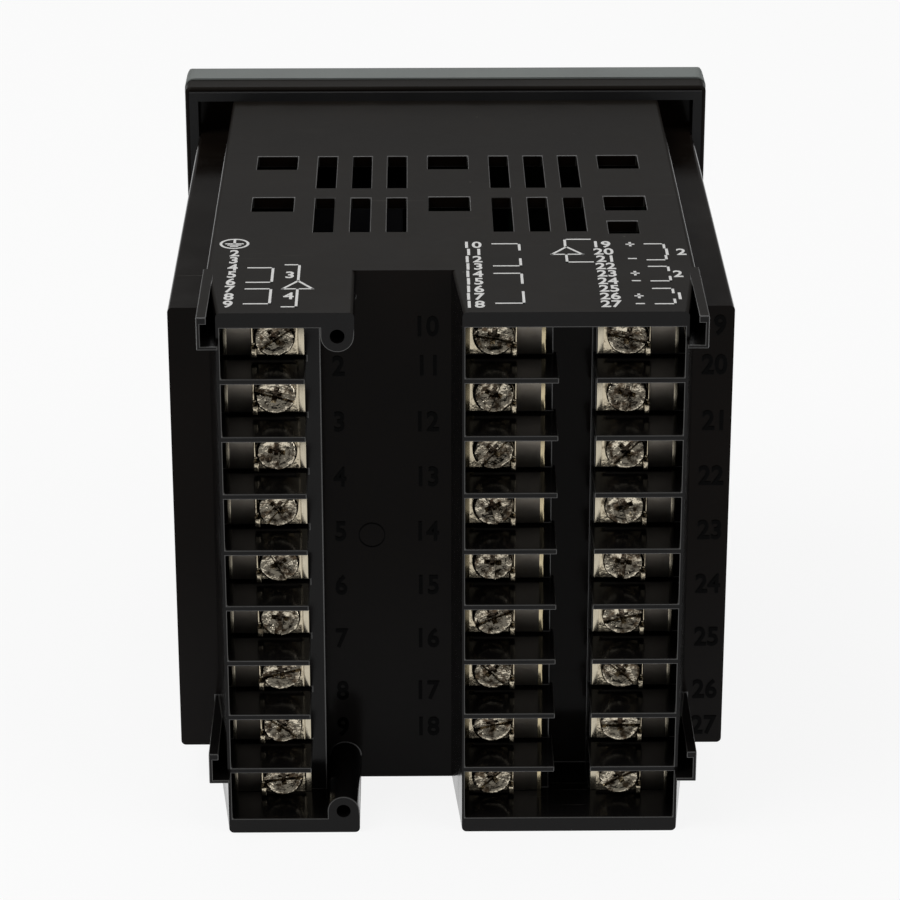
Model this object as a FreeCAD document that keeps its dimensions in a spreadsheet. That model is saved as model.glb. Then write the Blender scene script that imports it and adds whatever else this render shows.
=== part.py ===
"""Quarter DIN panel temperature controller, as a parametric FreeCAD document.

Frame: the origin is the centre of the panel cut-out, on the rear face of a 2 mm panel whose front bears on the
flange's seal. +Z is up, +Y runs from the panel back to the terminals, and the display faces -Y. Millimetres.
A cutting tool runs 1 mm past the face that it opens.
"""
import FreeCAD, Part

import os
import re

RIBS = 8                     # barrier ribs in a column of nine terminals
ROWS = 9
SCREW_TURNS = [20, 75, -35, 50, 5, -60, 35, 80, -15]    # how far each screw of a column was driven, degrees

# Driving dimensions. Every name becomes an alias in the sheet.
DIMS = {
    # case body behind the panel
    "body_half": 45.3, "top_inset": 6.3, "ledge_drop": 6.2, "wall": 2.0, "edge_round": 0.8,
    "plate_rear": 89.4, "block_deep": 19.2, "rear_wall": 2.4, "corner_pocket": 3.0,
    "panel_thick": 2.0, "rear_seal_thick": 0.9, "seal_wide": 1.6, "seal_thick": 1.0,
    # flange of the case, and the front bezel
    "flange_reach": 2.4, "flange_deep": 7.7, "flange_corner": 1.2, "flange_round": 0.6,
    "bezel_step": 0.3, "bezel_front": 17.9, "bezel_corner": 1.8, "bezel_round": 4.5, "front_wall": 2.6,
    "side_skin": 3.4,
    # holes in the top and bottom panels
    "bracket_half": 3.46, "bracket_inset": 9.55, "bracket_one": 30.7, "bracket_two": 53.0,
    "bracket_long": 7.3, "vent_half": 1.63, "vent_first": 8.76, "vent_gap": 3.58, "vent_one": 30.8,
    "vent_two": 53.4, "vent_long": 17.4,
    "small_slot_over": 1.55, "small_slot_wide": 5.0, "small_slot_start": 65.8, "small_slot_long": 6.2,
    # terminal blocks
    "lip": 2.55, "block_inset": 0.1, "block_draft": 2.4, "block_skin": 0.7, "cell_deep": 10.3,
    "gap_right_root": 0.1, "gap_right_tip": 1.5, "slant_skin": 0.5, "rib_thick": 0.95, "row_trim": 0.855,
    "boss_radius": 2.6, "boss_inset": 3.9, "boss_play": 0.05, "cover_hole": 1.15, "cover_hole_deep": 14.0,
    # how far beds, ribs and the left block reach past the inner ends of the plates
    "bed_left": 2.5, "rib_left": 0.3, "block_left": 8.05, "bed_middle": 1.15, "rib_middle": 1.65,
    "bed_right": 0.2, "rib_right": 0.6,
    # sockets for a rear cover
    "ear_proud": 2.0, "ear_reach": 0.4, "ear_high": 5.35, "ear_skin": 0.6, "ear_roof": 1.15,
    "ear_roof_wide": 1.6, "low_ear_drop": 15.5,
    # terminals
    "tag_left_tuck": 0.35, "tag_right_tuck": 0.05, "tag_tuck": 0.1, "tag_wide": 12.95, "tag_thick": 1.0,
    "tag_play": 0.08, "tag_bend": 1.0, "screw_offset": 4.6, "screw_shank": 1.6, "screw_play": 0.15,
    "screw_long": 6.0, "head_radius": 3.3, "head_high": 2.1, "head_round": 0.8, "slot_wide": 0.9,
    "slot_deep": 0.9, "cross_long": 3.8, "cross_deep": 1.4, "clamp_rim": 0.4, "clamp_short": 0.7,
    "clamp_thick": 0.8, "lug_wide": 0.9, "lug_clear": 2.0, "lug_rise": 1.5,
    # window, displays and keys
    "window_inset": 11.0, "window_down": 10.0, "window_low": 2.0, "window_thick": 1.5, "window_ledge": 1.5,
    "window_play": 0.1, "key_wide": 14.0, "key_high": 7.0, "key_row_step": 13.0, "key_row_rise": 7.0,
    "key_round": 1.4, "key_proud": 0.6, "key_play": 0.3, "key_flange": 0.8, "key_brim": 1.0,
    "key_post_gap": 0.5, "key_travel": 0.6, "key_seat": 0.05, "post_long": 5.1, "board_thick": 1.6,
    "board_gap": 2.6, "board_over": 5.5, "board_under": 3.0, "display_gap": 0.5, "led_radius": 1.5,
    "led_gap": 3.4, "led_rise": 7.0, "led_pitch": 7.0, "post_radius": 2.6, "post_inset": 5.6,
    "post_down": 17.0, "small_screw": 1.1, "small_screw_long": 5.0, "small_head": 2.2, "small_head_high": 1.2,
    "display_inset": 12.0, "upper_down": 3.0, "upper_tall": 17.0, "lower_gap": 3.0, "lower_rise": 3.0,
    "switch_half": 3.0, "chassis_screw_radius": 1.75, "chassis_screw_rise": 8.5, "chassis_head": 3.0,
    "chassis_head_high": 2.2, "chassis_head_deep": 4.4, "cap_radius": 4.0, "cap_thick": 1.2,
    "chassis_boss": 3.2, "chassis_boss_end": 6.0, "tube_skin": 0.6, "thread_play": 0.05, "screw_clearance": 0.2,
    # boards inside the case
    "inner_gap": 0.5, "inner_start": 4.6, "inner_short": 3.0, "power_across": 24.2, "output_across": -11.8,
    "input_gap": 1.2, "socket_deep": 9.0, "socket_half": 4.0, "socket_short": 8.8, "header_half": 3.2,
    "header_tall": 12.0, "header_deep": 7.0, "board_play": 0.05,
    # components on the boards
    "core_deep": 20.0, "core_front": 42.0, "core_rear": 68.0, "core_low": -32.0, "core_top": -4.0,
    "coil_inset": 3.0, "coil_proud": 4.0, "relay_deep": 15.5, "relay_front": 8.0, "relay_rear": 28.0,
    "relay_low": 3.0, "relay_tall": 10.0, "relay_pitch": 12.0, "can_radius": 5.0, "can_long": 14.0,
    "can_start": 12.0, "can_top": -10.0, "can_pitch": 14.0, "chip_thick": 1.6, "chip_start": 12.0,
    "chip_wide": 22.0, "chip_low": -10.0, "small_chip_start": 42.0, "small_chip_wide": 12.0,
    "small_chip_high": 8.0, "small_chip_low": -6.0, "small_chip_pitch": 16.0,
}

# Sizes that follow from others, so that what fits together stays together.
FOLLOWS = {
    "seal_deep": "panel_thick + rear_seal_thick",
    "top_half": "body_half - top_inset", "ledge_half": "body_half - ledge_drop",
    "flange_half": "body_half + flange_reach", "bezel_half": "flange_half + bezel_step",
    "bracket_pitch": "top_half - bracket_inset",
    "vent_pitch": "(bracket_pitch - bracket_half - vent_gap - vent_half - vent_first) / 2",
    "small_slot_outer": "bracket_pitch + small_slot_over",
    "small_slot_inner": "small_slot_outer - small_slot_wide",
    "block_rear": "plate_rear + block_deep", "seat": "block_rear - cell_deep",
    "block_root": "top_half - block_inset", "block_tip": "block_root - block_draft",
    "rib_pitch": f"(body_half - lip + row_trim) * 2 / {ROWS}", "rib_top": f"rib_pitch * {RIBS - 1} / 2",
    "tag_left": "block_tip - block_skin + tag_left_tuck - tag_wide", "gap_left": "tag_left - block_left",
    "tag_right": "block_tip - block_skin + tag_right_tuck - tag_wide",
    "tag_middle": "gap_right_tip + slant_skin - tag_tuck",
    "tag_high": "rib_pitch - 2 * row_trim - tag_play", "clamp_high": "tag_high - clamp_short",
    "clamp_wide": "2 * (head_radius + clamp_rim)", "lug_high": "clamp_high / 2 - lug_clear",
    "seat_left_end": "tag_left - bed_left", "rib_left_end": "tag_left - rib_left",
    "seat_middle_end": "tag_middle + tag_wide + bed_middle",
    "rib_middle_end": "tag_middle + tag_wide + rib_middle",
    "seat_right_end": "tag_right - bed_right", "rib_right_end": "tag_right - rib_right",
    "boss_across": "gap_left + boss_radius + boss_play", "boss_up": "body_half - boss_inset",
    "ear_half": "top_half + ear_reach", "ear_rear": "block_rear + ear_proud",
    "low_ear_top": "low_ear_drop - body_half",
    "window_half": "bezel_half - window_inset", "window_top": "bezel_half - window_down",
    "post_across": "bezel_half - side_skin - post_inset", "post_up": "bezel_half - post_down",
    "key_pitch": "(post_across - post_radius - key_post_gap - key_brim - key_wide / 2) / 1.5",
    "key_row_two": "key_row_rise - post_up", "key_row_one": "key_row_two + key_row_step",
    "board_front": "bezel_front - front_wall - post_long", "board_half": "bezel_half - side_skin - board_gap",
    "board_top": "post_up + board_over", "board_low": "post_up + board_under",
    "display_deep": "post_long - display_gap", "display_half": "board_half - display_inset",
    "led_across": "display_half + led_gap", "led_low": "window_low + led_rise",
    "upper_top": "window_top - upper_down", "upper_low": "upper_top - upper_tall",
    "lower_top": "upper_low - lower_gap", "lower_low": "window_low + lower_rise",
    "chassis_screw_down": "bezel_half - chassis_screw_rise",
    "chassis_head_seat": "chassis_head_deep - bezel_front",
    "inner_half": "body_half - wall - inner_gap", "inner_front": "board_thick - board_front + inner_start",
    "inner_rear": "plate_rear - rear_wall - inner_short",
    "input_across": "input_gap + board_thick / 2 + wall - top_half",
    "socket_tall": "inner_half - socket_short", "header_rear": "inner_front + header_deep",
}

DOC = FreeCAD.newDocument("controller")
SHEET = DOC.addObject("Spreadsheet::Sheet", "Dims")
for row, (alias, value) in enumerate([*DIMS.items(), *FOLLOWS.items()], start=1):
    SHEET.set(f"A{row}", alias)
    SHEET.set(f"B{row}", f"={value}")
    SHEET.setAlias(f"B{row}", alias)
DOC.recompute()

NODES = []                   # the finished sub-parts, in the order they are made


# ---------------------------------------------------------------- helpers

def bind(item, prop, formula):
    """Bind one property to a formula written with the sheet's aliases."""
    item.setExpression(prop, re.sub(r"[A-Za-z_]\w*", lambda word: "Dims." + word.group(0), formula))


def size(name):
    """A dimension's number, for the few features that take no expression."""
    return float(SHEET.get(name))


def block(name, x, y, z):
    """A box between two formulas on each axis."""
    item = DOC.addObject("Part::Box", name)
    for prop, axis, (low, high) in (("Length", "x", x), ("Width", "y", y), ("Height", "z", z)):
        bind(item, prop, f"({high}) - ({low})")
        bind(item, f"Placement.Base.{axis}", low)
    return item


def wedge(name, near, far, z, x_near, x_far):
    """A block along Y whose X span changes from x_near at y = near to x_far at y = far."""
    item = DOC.addObject("Part::Wedge", name)
    for prop, formula in (("Ymin", near), ("Ymax", far), ("Zmin", z[0]), ("Zmax", z[1]), ("Z2min", z[0]),
                          ("Z2max", z[1]), ("Xmin", x_near[0]), ("Xmax", x_near[1]), ("X2min", x_far[0]),
                          ("X2max", x_far[1])):
        bind(item, prop, formula)
    return item


def rod(name, x, y, z, radius):
    """A cylinder along Y between the two formulas in y."""
    item = DOC.addObject("Part::Cylinder", name)
    bind(item, "Radius", radius)
    bind(item, "Height", f"({y[1]}) - ({y[0]})")
    item.Placement = FreeCAD.Placement(FreeCAD.Vector(), FreeCAD.Rotation(FreeCAD.Vector(1, 0, 0), -90))
    bind(item, "Placement.Base.x", x)
    bind(item, "Placement.Base.y", y[0])
    bind(item, "Placement.Base.z", z)
    return item


def fuse(name, items):
    """One solid from touching or overlapping pieces."""
    item = DOC.addObject("Part::MultiFuse", name)
    item.Shapes = items
    item.Refine = True
    return item


def cut(name, base, tools):
    """Base less every tool."""
    tool = tools[0]
    if len(tools) > 1:
        tool = DOC.addObject("Part::MultiFuse", name + "_tools")
        tool.Shapes = tools
    item = DOC.addObject("Part::Cut", name)
    item.Base, item.Tool = base, tool
    item.Refine = True
    return item


def group(name, items):
    """Separate solids that share one node."""
    item = DOC.addObject("Part::Compound", name)
    item.Links = items
    return item


def fillet(name, base, radius, wanted):
    """Round every edge for which wanted(edge) is true."""
    DOC.recompute()
    item = DOC.addObject("Part::Fillet", name)
    item.Base = base
    item.Edges = [(number, radius, radius) for number, edge in enumerate(base.Shape.Edges, start=1)
                  if wanted(edge)]
    return item


def along_y(edge):
    """True for a straight edge that runs along Y."""
    start, end = edge.Vertexes[0].Point, edge.Vertexes[-1].Point
    return edge.Curve.TypeId == "Part::GeomLine" and (end - start).cross(FreeCAD.Vector(0, 1, 0)).Length < 1e-6


def at_y(value):
    """A test for edges that lie wholly in the plane y = value."""
    return lambda edge: abs(edge.BoundBox.YMin - value) < 1e-6 and abs(edge.BoundBox.YMax - value) < 1e-6


def node(item, label):
    """Keep a finished sub-part under its node's name."""
    item.Label = label
    NODES.append((label, item))
    return item


def both(formula, positive=True):
    """A formula or its mirror image."""
    return f"({formula})" if positive else f"-({formula})"


def around(centre, reach):
    """A span that reaches equally to both sides of a centre formula."""
    return (f"{centre} - ({reach})", f"{centre} + ({reach})")


def span(low, high, positive=True):
    """A span of formulas, mirrored through zero when positive is false."""
    return (low, high) if positive else (f"-({high})", f"-({low})")


# ---------------------------------------------------------------- case

def case_outside():
    """Flange, body and the two terminal blocks, all still solid."""
    plate = block("flange_block", ("-flange_half", "flange_half"), ("-flange_deep", "-seal_deep"),
                  ("-flange_half", "flange_half"))
    corners = fillet("flange_corners", plate, size("flange_corner"), along_y)
    flange = fillet("flange", corners, size("flange_round"), at_y(-size("seal_deep")))
    deep, high = ("-seal_deep - 1", "plate_rear"), ("-body_half", "body_half")
    wide = block("body_wide_block", high, deep, ("-ledge_half", "ledge_half"))
    tall = block("body_tall_block", ("-top_half", "top_half"), deep, high)
    left = wedge("block_left", "plate_rear - 1", "block_rear", high,
                 ("gap_left", "block_root"), ("gap_left", "block_tip"))
    right = wedge("block_right", "plate_rear - 1", "block_rear", high,
                  ("-block_root", "gap_right_root"), ("-block_tip", "-gap_right_tip"))
    return [flange,
            fillet("body_wide", wide, size("edge_round"), along_y),
            fillet("body_tall", tall, size("edge_round"), along_y),
            fillet("block_left_round", left, size("edge_round"), long_edges),
            fillet("block_right_round", right, size("edge_round"), long_edges)]


def long_edges(edge):
    """The four edges that run from the front of a terminal block to its rear."""
    return edge.BoundBox.YLength > size("block_deep")


def case_hollows():
    """The cavity, the insides of the terminal blocks and every opening in the walls."""
    cavity_end = "plate_rear - rear_wall"
    tools = [
        block("cavity_wide", ("-body_half + wall", "body_half - wall"), ("-flange_deep - 1", cavity_end),
              ("-ledge_half + wall", "ledge_half - wall")),
        block("cavity_tall", ("-top_half + wall", "top_half - wall"), ("-flange_deep - 1", cavity_end),
              ("-body_half + wall", "body_half - wall")),
        wedge("block_left_inside", "plate_rear", "block_rear + 1", ("-body_half + lip", "body_half - lip"),
              ("gap_left - 2", "block_root - block_skin"), ("gap_left - 2", "block_tip - block_skin")),
        wedge("block_right_inside", "plate_rear", "block_rear + 1", ("-body_half + lip", "body_half - lip"),
              ("-block_root + block_skin", "gap_right_root - slant_skin - 1.2"),
              ("-block_tip + block_skin", "-gap_right_tip - slant_skin")),
    ]
    for up in (True, False):
        side = "top" if up else "bottom"
        skin = span("body_half - wall - 1", "body_half + 1", up)
        for column in (-1, 0, 1):
            centre = f"{column} * bracket_pitch"
            for number, start in enumerate(("bracket_one", "bracket_two")):
                tools.append(block(f"bracket_{side}_{column + 1}_{number}", around(centre, "bracket_half"),
                                   (start, f"{start} + bracket_long"), skin))
        for across in (True, False):
            for place in range(3):
                centre = both(f"vent_first + {place} * vent_pitch", across)
                for number, start in enumerate(("vent_one", "vent_two")):
                    tools.append(block(f"vent_{side}_{'left' if across else 'right'}_{place}_{number}",
                                       around(centre, "vent_half"), (start, f"{start} + vent_long"), skin))
        for across in (True, False):
            tools.append(block(f"corner_pocket_{side}_{'left' if across else 'right'}",
                               span("top_half", "body_half", across),
                               ("-seal_deep - corner_pocket", "-seal_deep + 1"),
                               span("ledge_half", "body_half", up)))
    tools.append(block("small_slot", ("-small_slot_outer", "-small_slot_inner"),
                       ("small_slot_start", "small_slot_start + small_slot_long"),
                       ("body_half - wall - 1", "body_half + 1")))
    return tools


def square_ring(name, front, rear):
    """A square ring round the body's outline, as wide as a seal."""
    edge = "body_half + seal_wide"
    outer = block(name + "_outer", (f"-({edge})", edge), (front, rear), (f"-({edge})", edge))
    inner = block(name + "_inner", ("-body_half", "body_half"), (f"{front} - 1", f"{rear} + 1"),
                  ("-body_half", "body_half"))
    return cut(name, outer, [inner])


def outer_wall(at):
    """X formula of the middle of a terminal block's drafted outer wall, at y = at."""
    return (f"block_root - block_skin / 2 - (block_root - block_tip) * ({at} - plate_rear + 1)"
            " / (block_rear - plate_rear + 1)")


def terminal_seats():
    """The raised beds of the three terminal columns, and their barrier ribs, which run out to the walls."""
    slanted_wall = "-gap_right_tip - slant_skin / 2"
    root, bed_high = "plate_rear - 1", ("-body_half + lip / 2", "body_half - lip / 2")
    items = [
        wedge("seat_left", root, "seat", bed_high, ("seat_left_end", outer_wall(root)),
              ("seat_left_end", outer_wall("seat"))),
        block("seat_middle", ("-seat_middle_end", slanted_wall), (root, "seat"), bed_high),
        wedge("seat_right", root, "seat", bed_high, (f"-({outer_wall(root)})", "-seat_right_end"),
              (f"-({outer_wall('seat')})", "-seat_right_end")),
    ]
    foot, edge = "seat - 1", "block_rear"
    for number in range(RIBS):
        centre = f"rib_top - {number} * rib_pitch"
        high = around(centre, "rib_thick / 2")
        items += [
            wedge(f"rib_left_{number}", foot, edge, high, ("rib_left_end", outer_wall(foot)),
                  ("rib_left_end", outer_wall(edge))),
            block(f"rib_middle_{number}", ("-rib_middle_end", slanted_wall), (foot, edge), high),
            wedge(f"rib_right_{number}", foot, edge, high, (f"-({outer_wall(foot)})", "-rib_right_end"),
                  (f"-({outer_wall(edge)})", "-rib_right_end")),
        ]
    return items


def cover_bosses():
    """Two bosses of the left block that take a rear cover's screws."""
    items = []
    for up in (True, False):
        name = "boss_top" if up else "boss_bottom"
        deep = ("plate_rear - 1", "block_rear")
        items.append(rod(name, "boss_across", deep, both("boss_up", up), "boss_radius"))
        items.append(block(name + "_web", ("gap_left + boss_play", "boss_across + boss_radius"), deep,
                           span("boss_up", "body_half - 1", up)))
    return items


def cover_ears():
    """Four sockets, open to the rear, beside the outer walls of the terminal blocks."""
    items = []
    deep = ("plate_rear - 1", "ear_rear")
    for across in (True, False):
        for place, top in (("high", "body_half"), ("low", "low_ear_top")):
            name = f"ear_{'left' if across else 'right'}_{place}"
            bottom = f"{top} - ear_high"
            items.append(block(name + "_side", span("ear_half - ear_skin", "ear_half", across), deep,
                               (bottom, top)))
            items.append(block(name + "_roof", span("ear_half - ear_roof_wide", "ear_half", across), deep,
                               (f"{top} - ear_roof", top)))
            items.append(block(name + "_floor", span("block_tip - block_skin / 2", "ear_half", across), deep,
                               (bottom, f"{bottom} + ear_skin")))
    return items


def chassis_boss():
    """The boss under the front opening that takes the chassis screw."""
    deep = ("-flange_deep", "chassis_boss_end")
    web = block("chassis_boss_web", ("-chassis_boss / 2", "chassis_boss / 2"), deep,
                ("-body_half + wall / 2", "-chassis_screw_down"))
    return [rod("chassis_boss", "0", deep, "-chassis_screw_down", "chassis_boss"), web]


def make_case():
    """The one-piece moulded case."""
    groove = square_ring("front_groove", "-flange_deep - 1", "-flange_deep + seal_thick")
    hollows = case_hollows() + [groove]
    shell = cut("case_shell", fuse("case_outside", case_outside()), hollows)
    full = fuse("case_full", [shell] + terminal_seats() + cover_bosses() + cover_ears() + chassis_boss())
    holes = [rod("chassis_hole", "0", ("-flange_deep - 1", "chassis_boss_end - 1.5"), "-chassis_screw_down",
                 "chassis_screw_radius + thread_play")]
    for up in (True, False):
        holes.append(rod("cover_hole_" + ("top" if up else "bottom"), "boss_across",
                         ("block_rear - cover_hole_deep", "block_rear + 1"), both("boss_up", up), "cover_hole"))
    for column, centre in SCREW_COLUMNS.items():
        for number in range(ROWS):
            holes.append(rod(f"screw_hole_{column}_{number}", centre, ("seat - screw_long", "seat + 1"),
                             row_height(number), "screw_shank + screw_play"))
    return node(cut("case_body", full, holes), "case")


def make_seals():
    """The rubber rings behind the flange, against the panel, and in front of it, against the bezel."""
    node(square_ring("rear_seal", "-seal_deep", "-panel_thick"), "panel_gasket")
    node(square_ring("front_seal", "-flange_deep", "-flange_deep + seal_thick"), "bezel_gasket")


# ---------------------------------------------------------------- terminals

SCREW_COLUMNS = {
    "left": "tag_left + screw_offset",
    "middle": "-tag_middle - screw_offset",
    "right": "-tag_right - screw_offset",
}
TAG_EDGES = {"left": "tag_left", "middle": "tag_middle", "right": "tag_right"}
COLUMN_NAMES = {"left": "1_to_9", "middle": "10_to_18", "right": "19_to_27"}


def row_height(number):
    """Height of the middle of a terminal, counted from the top."""
    return f"rib_top + rib_pitch / 2 - {number} * rib_pitch"


def make_tags(column):
    """The nine plates of a column, each with its outer end rolled down and a hole for its screw."""
    left = column == "left"
    edge = TAG_EDGES[column]
    items = []
    for number in range(ROWS):
        name = f"tag_{column}_{number}"
        centre = row_height(number)
        high = around(centre, "tag_high / 2")
        flat = block(name + "_flat", span(edge, f"{edge} + tag_wide - tag_bend", left),
                     ("seat", "seat + tag_thick"), high)
        bend = DOC.addObject("Part::Cylinder", name + "_bend")
        bind(bend, "Radius", "tag_bend")
        bind(bend, "Height", "tag_high")
        bend.Angle = 90
        bend.Placement.Rotation = FreeCAD.Rotation(FreeCAD.Vector(0, 0, 1), 0 if left else 90)
        bind(bend, "Placement.Base.x", both(f"{edge} + tag_wide - tag_bend", left))
        bind(bend, "Placement.Base.y", "seat + tag_thick - tag_bend")
        bind(bend, "Placement.Base.z", high[0])
        hole = rod(name + "_hole", SCREW_COLUMNS[column], ("seat - 1", "seat + tag_thick + 1"), centre,
                   "screw_shank + screw_play")
        items.append(cut(name, fuse(name + "_whole", [flat, bend]), [hole]))
    return node(group(f"tags_{column}", items), f"terminal_plates_{COLUMN_NAMES[column]}")


def make_clamps(column):
    """The nine captive clamp plates of a column: a square washer with two lugs bent to the rear."""
    left = column == "left"
    centre_x = SCREW_COLUMNS[column]
    items = []
    for number in range(ROWS):
        name = f"clamp_{column}_{number}"
        centre = row_height(number)
        under, over = "seat + tag_thick", "seat + tag_thick + clamp_thick"
        low, high = around(centre, "clamp_high / 2")
        plate = block(name + "_plate", around(centre_x, "clamp_wide / 2"), (under, over), (low, high))
        outward = span("clamp_wide / 2 - lug_wide", "clamp_wide / 2", left)
        inward = span("-clamp_wide / 2", "-clamp_wide / 2 + lug_wide", left)
        lugs = []
        for word, side, rows in (("low", outward, (low, f"{low} + lug_high")),
                                 ("high", inward, (f"{high} - lug_high", high))):
            lugs.append(block(f"{name}_lug_{word}", (f"{centre_x} + ({side[0]})", f"{centre_x} + ({side[1]})"),
                              (under, f"{over} + lug_rise"), rows))
        hole = rod(name + "_hole", centre_x, ("seat", f"{over} + 1"), centre, "screw_shank + screw_play")
        items.append(cut(name, fuse(name + "_whole", [plate] + lugs), [hole]))
    return node(group(f"clamps_{column}", items), f"clamp_plates_{COLUMN_NAMES[column]}")


def make_screws(column):
    """The nine combination-head screws of a column: a rounded pan head with a slot and a cross."""
    centre_x = SCREW_COLUMNS[column]
    rim = size("seat") + size("tag_thick") + size("clamp_thick") + size("head_high")
    items = []
    for number in range(ROWS):
        name = f"screw_{column}_{number}"
        centre = row_height(number)
        under = "seat + tag_thick + clamp_thick"
        top = f"{under} + head_high"
        disc = rod(name + "_disc", centre_x, (under, top), centre, "head_radius")
        head = fillet(name + "_head", disc, size("head_round"), at_y(rim))
        shank = rod(name + "_shank", centre_x, (f"{under} - screw_long", under), centre, "screw_shank")
        recess = []
        for word, half_long, deep, turn in (("slot", "head_radius + 1", "slot_deep", 0),
                                            ("cross_a", "cross_long / 2", "cross_deep", 0),
                                            ("cross_b", "cross_long / 2", "cross_deep", 90)):
            bar = DOC.addObject("Part::Box", f"{name}_{word}")
            bind(bar, "Length", f"2 * ({half_long})")
            bind(bar, "Width", f"{deep} + 1")
            bind(bar, "Height", "slot_wide")
            angle = SCREW_TURNS[(number * 2 + len(column)) % ROWS] + turn
            turned = FreeCAD.Rotation(FreeCAD.Vector(0, 1, 0), angle)
            reach = size("head_radius") + 1 if word == "slot" else size("cross_long") / 2
            offset = turned.multVec(FreeCAD.Vector(-reach, 0, -size("slot_wide") / 2))
            bar.Placement.Rotation = turned
            bind(bar, "Placement.Base.x", f"{centre_x} + {offset.x:.6f}")
            bind(bar, "Placement.Base.y", f"{top} - {deep}")
            bind(bar, "Placement.Base.z", f"{centre} + {offset.z:.6f}")
            recess.append(bar)
        items.append(cut(name, fuse(name + "_whole", [head, shank]), recess))
    return node(group(f"screws_{column}", items), f"terminal_screws_{COLUMN_NAMES[column]}")


# ---------------------------------------------------------------- front

def window_span(inset):
    """X and Z spans of the window, drawn in by inset on every side."""
    return ((f"-window_half + {inset}", f"window_half - ({inset})"),
            (f"window_low + {inset}", f"window_top - ({inset})"))


def key_places():
    """Centre formulas of the eight keys, row by row from the left of the front view."""
    for row, height in (("upper", "key_row_one"), ("lower", "key_row_two")):
        for column in range(4):
            yield f"key_{row}_{column + 1}", f"({column} - 1.5) * key_pitch", height


def make_bezel():
    """The grey front moulding: a tray with a window, key holes, board posts and the chassis screw's tube."""
    front = "-bezel_front"
    inner = "-bezel_front + front_wall"
    square = ("-bezel_half", "bezel_half")
    hollow = ("-bezel_half + side_skin", "bezel_half - side_skin")
    slabs = [block(f"bezel_block_{word}", square, (front, "-flange_deep"), square)
             for word in ("plain", "level", "upright")]
    at_front = at_y(-size("bezel_front"))
    rounded = [
        fillet("bezel_corners", slabs[0], size("bezel_corner"), along_y),
        fillet("bezel_level", slabs[1], size("bezel_round"),
               lambda edge: at_front(edge) and edge.BoundBox.XLength > 1),
        fillet("bezel_upright", slabs[2], size("bezel_round"),
               lambda edge: at_front(edge) and edge.BoundBox.ZLength > 1),
    ]
    outside = DOC.addObject("Part::MultiCommon", "bezel_outside")
    outside.Shapes = rounded
    tray = cut("bezel_tray", outside, [block("bezel_inside", hollow, (inner, "0"), hollow)])
    posts = [rod(f"post_{number}", both("post_across", across), (f"{inner} - 1", "-board_front"),
                 both("post_up", up), "post_radius")
             for number, (across, up) in enumerate(CORNERS)]
    down = "-chassis_screw_down"
    tube = rod("screw_tube", "0", (f"{inner} - 1", "-flange_deep"), down, "cap_radius + tube_skin")
    full = fuse("bezel_full", [tray, tube] + posts)
    rebate_x, rebate_z = window_span("0")
    light_x, light_z = window_span("window_ledge")
    tools = [
        block("window_rebate", rebate_x, (f"{front} - 1", f"{front} + window_thick"), rebate_z),
        block("window_light", light_x, (f"{front} - 1", f"{inner} + 1"), light_z),
        rod("cap_recess", "0", (f"{front} - 1", f"{front} + cap_thick"), down, "cap_radius + window_play"),
        rod("head_recess", "0", (f"{front} - 1", "chassis_head_seat"), down, "chassis_head + screw_clearance"),
        rod("tube_hole", "0", (f"{front} - 1", "0"), down, "chassis_screw_radius + screw_clearance"),
    ]
    tools += [rod(f"post_hole_{number}", both("post_across", across), ("-board_front - small_screw_long", "0"),
                  both("post_up", up), "small_screw + thread_play")
              for number, (across, up) in enumerate(CORNERS)]
    for name, across, height in key_places():
        hole = block(name + "_hole", around(across, "key_wide / 2 + key_play"),
                     (f"{front} - 1", f"{inner} + 1"), around(height, "key_high / 2 + key_play"))
        tools.append(fillet(name + "_hole_round", hole, size("key_round"), along_y))
    return node(cut("bezel_body", full, tools), "bezel")


CORNERS = [(True, True), (True, False), (False, True), (False, False)]     # left or right, up or down


def make_window():
    """The dark lens over both displays."""
    x, z = window_span("window_play")
    pane = block("window_pane", x, ("-bezel_front", "-bezel_front + window_thick"), z)
    return node(pane, "display_window")


def make_keys():
    """Eight keys, each with a brim that holds it behind the front wall."""
    inner = "-bezel_front + front_wall"
    for name, across, height in key_places():
        cap = block(name + "_cap", around(across, "key_wide / 2"),
                    ("-bezel_front - key_proud", f"{inner} + key_seat"), around(height, "key_high / 2"))
        round_cap = fillet(name + "_round", cap, size("key_round"), along_y)
        brim = block(name + "_brim", around(across, "key_wide / 2 + key_brim"),
                     (f"{inner} + key_seat", f"{inner} + key_seat + key_flange"),
                     around(height, "key_high / 2 + key_brim"))
        node(fuse(name + "_body", [round_cap, brim]), name)


def make_chassis_screw():
    """The one screw that draws the chassis into the case, and the cap over its head."""
    seat = "chassis_head_seat"
    down = "-chassis_screw_down"
    head = rod("chassis_screw_head", "0", (f"{seat} - chassis_head_high", seat), down, "chassis_head")
    shank = rod("chassis_screw_shank", "0", (seat, "chassis_boss_end - 2"), down, "chassis_screw_radius")
    slot = block("chassis_screw_slot", ("-chassis_head - 1", "chassis_head + 1"),
                 (f"{seat} - chassis_head_high - 1", f"{seat} - chassis_head_high + slot_deep"),
                 around(down, "slot_wide / 2"))
    node(cut("chassis_screw_body", fuse("chassis_screw_whole", [head, shank]), [slot]), "chassis_screw")
    node(rod("screw_cap_body", "0", ("-bezel_front", "-bezel_front + cap_thick"), down, "cap_radius"),
         "screw_cap")


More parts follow.
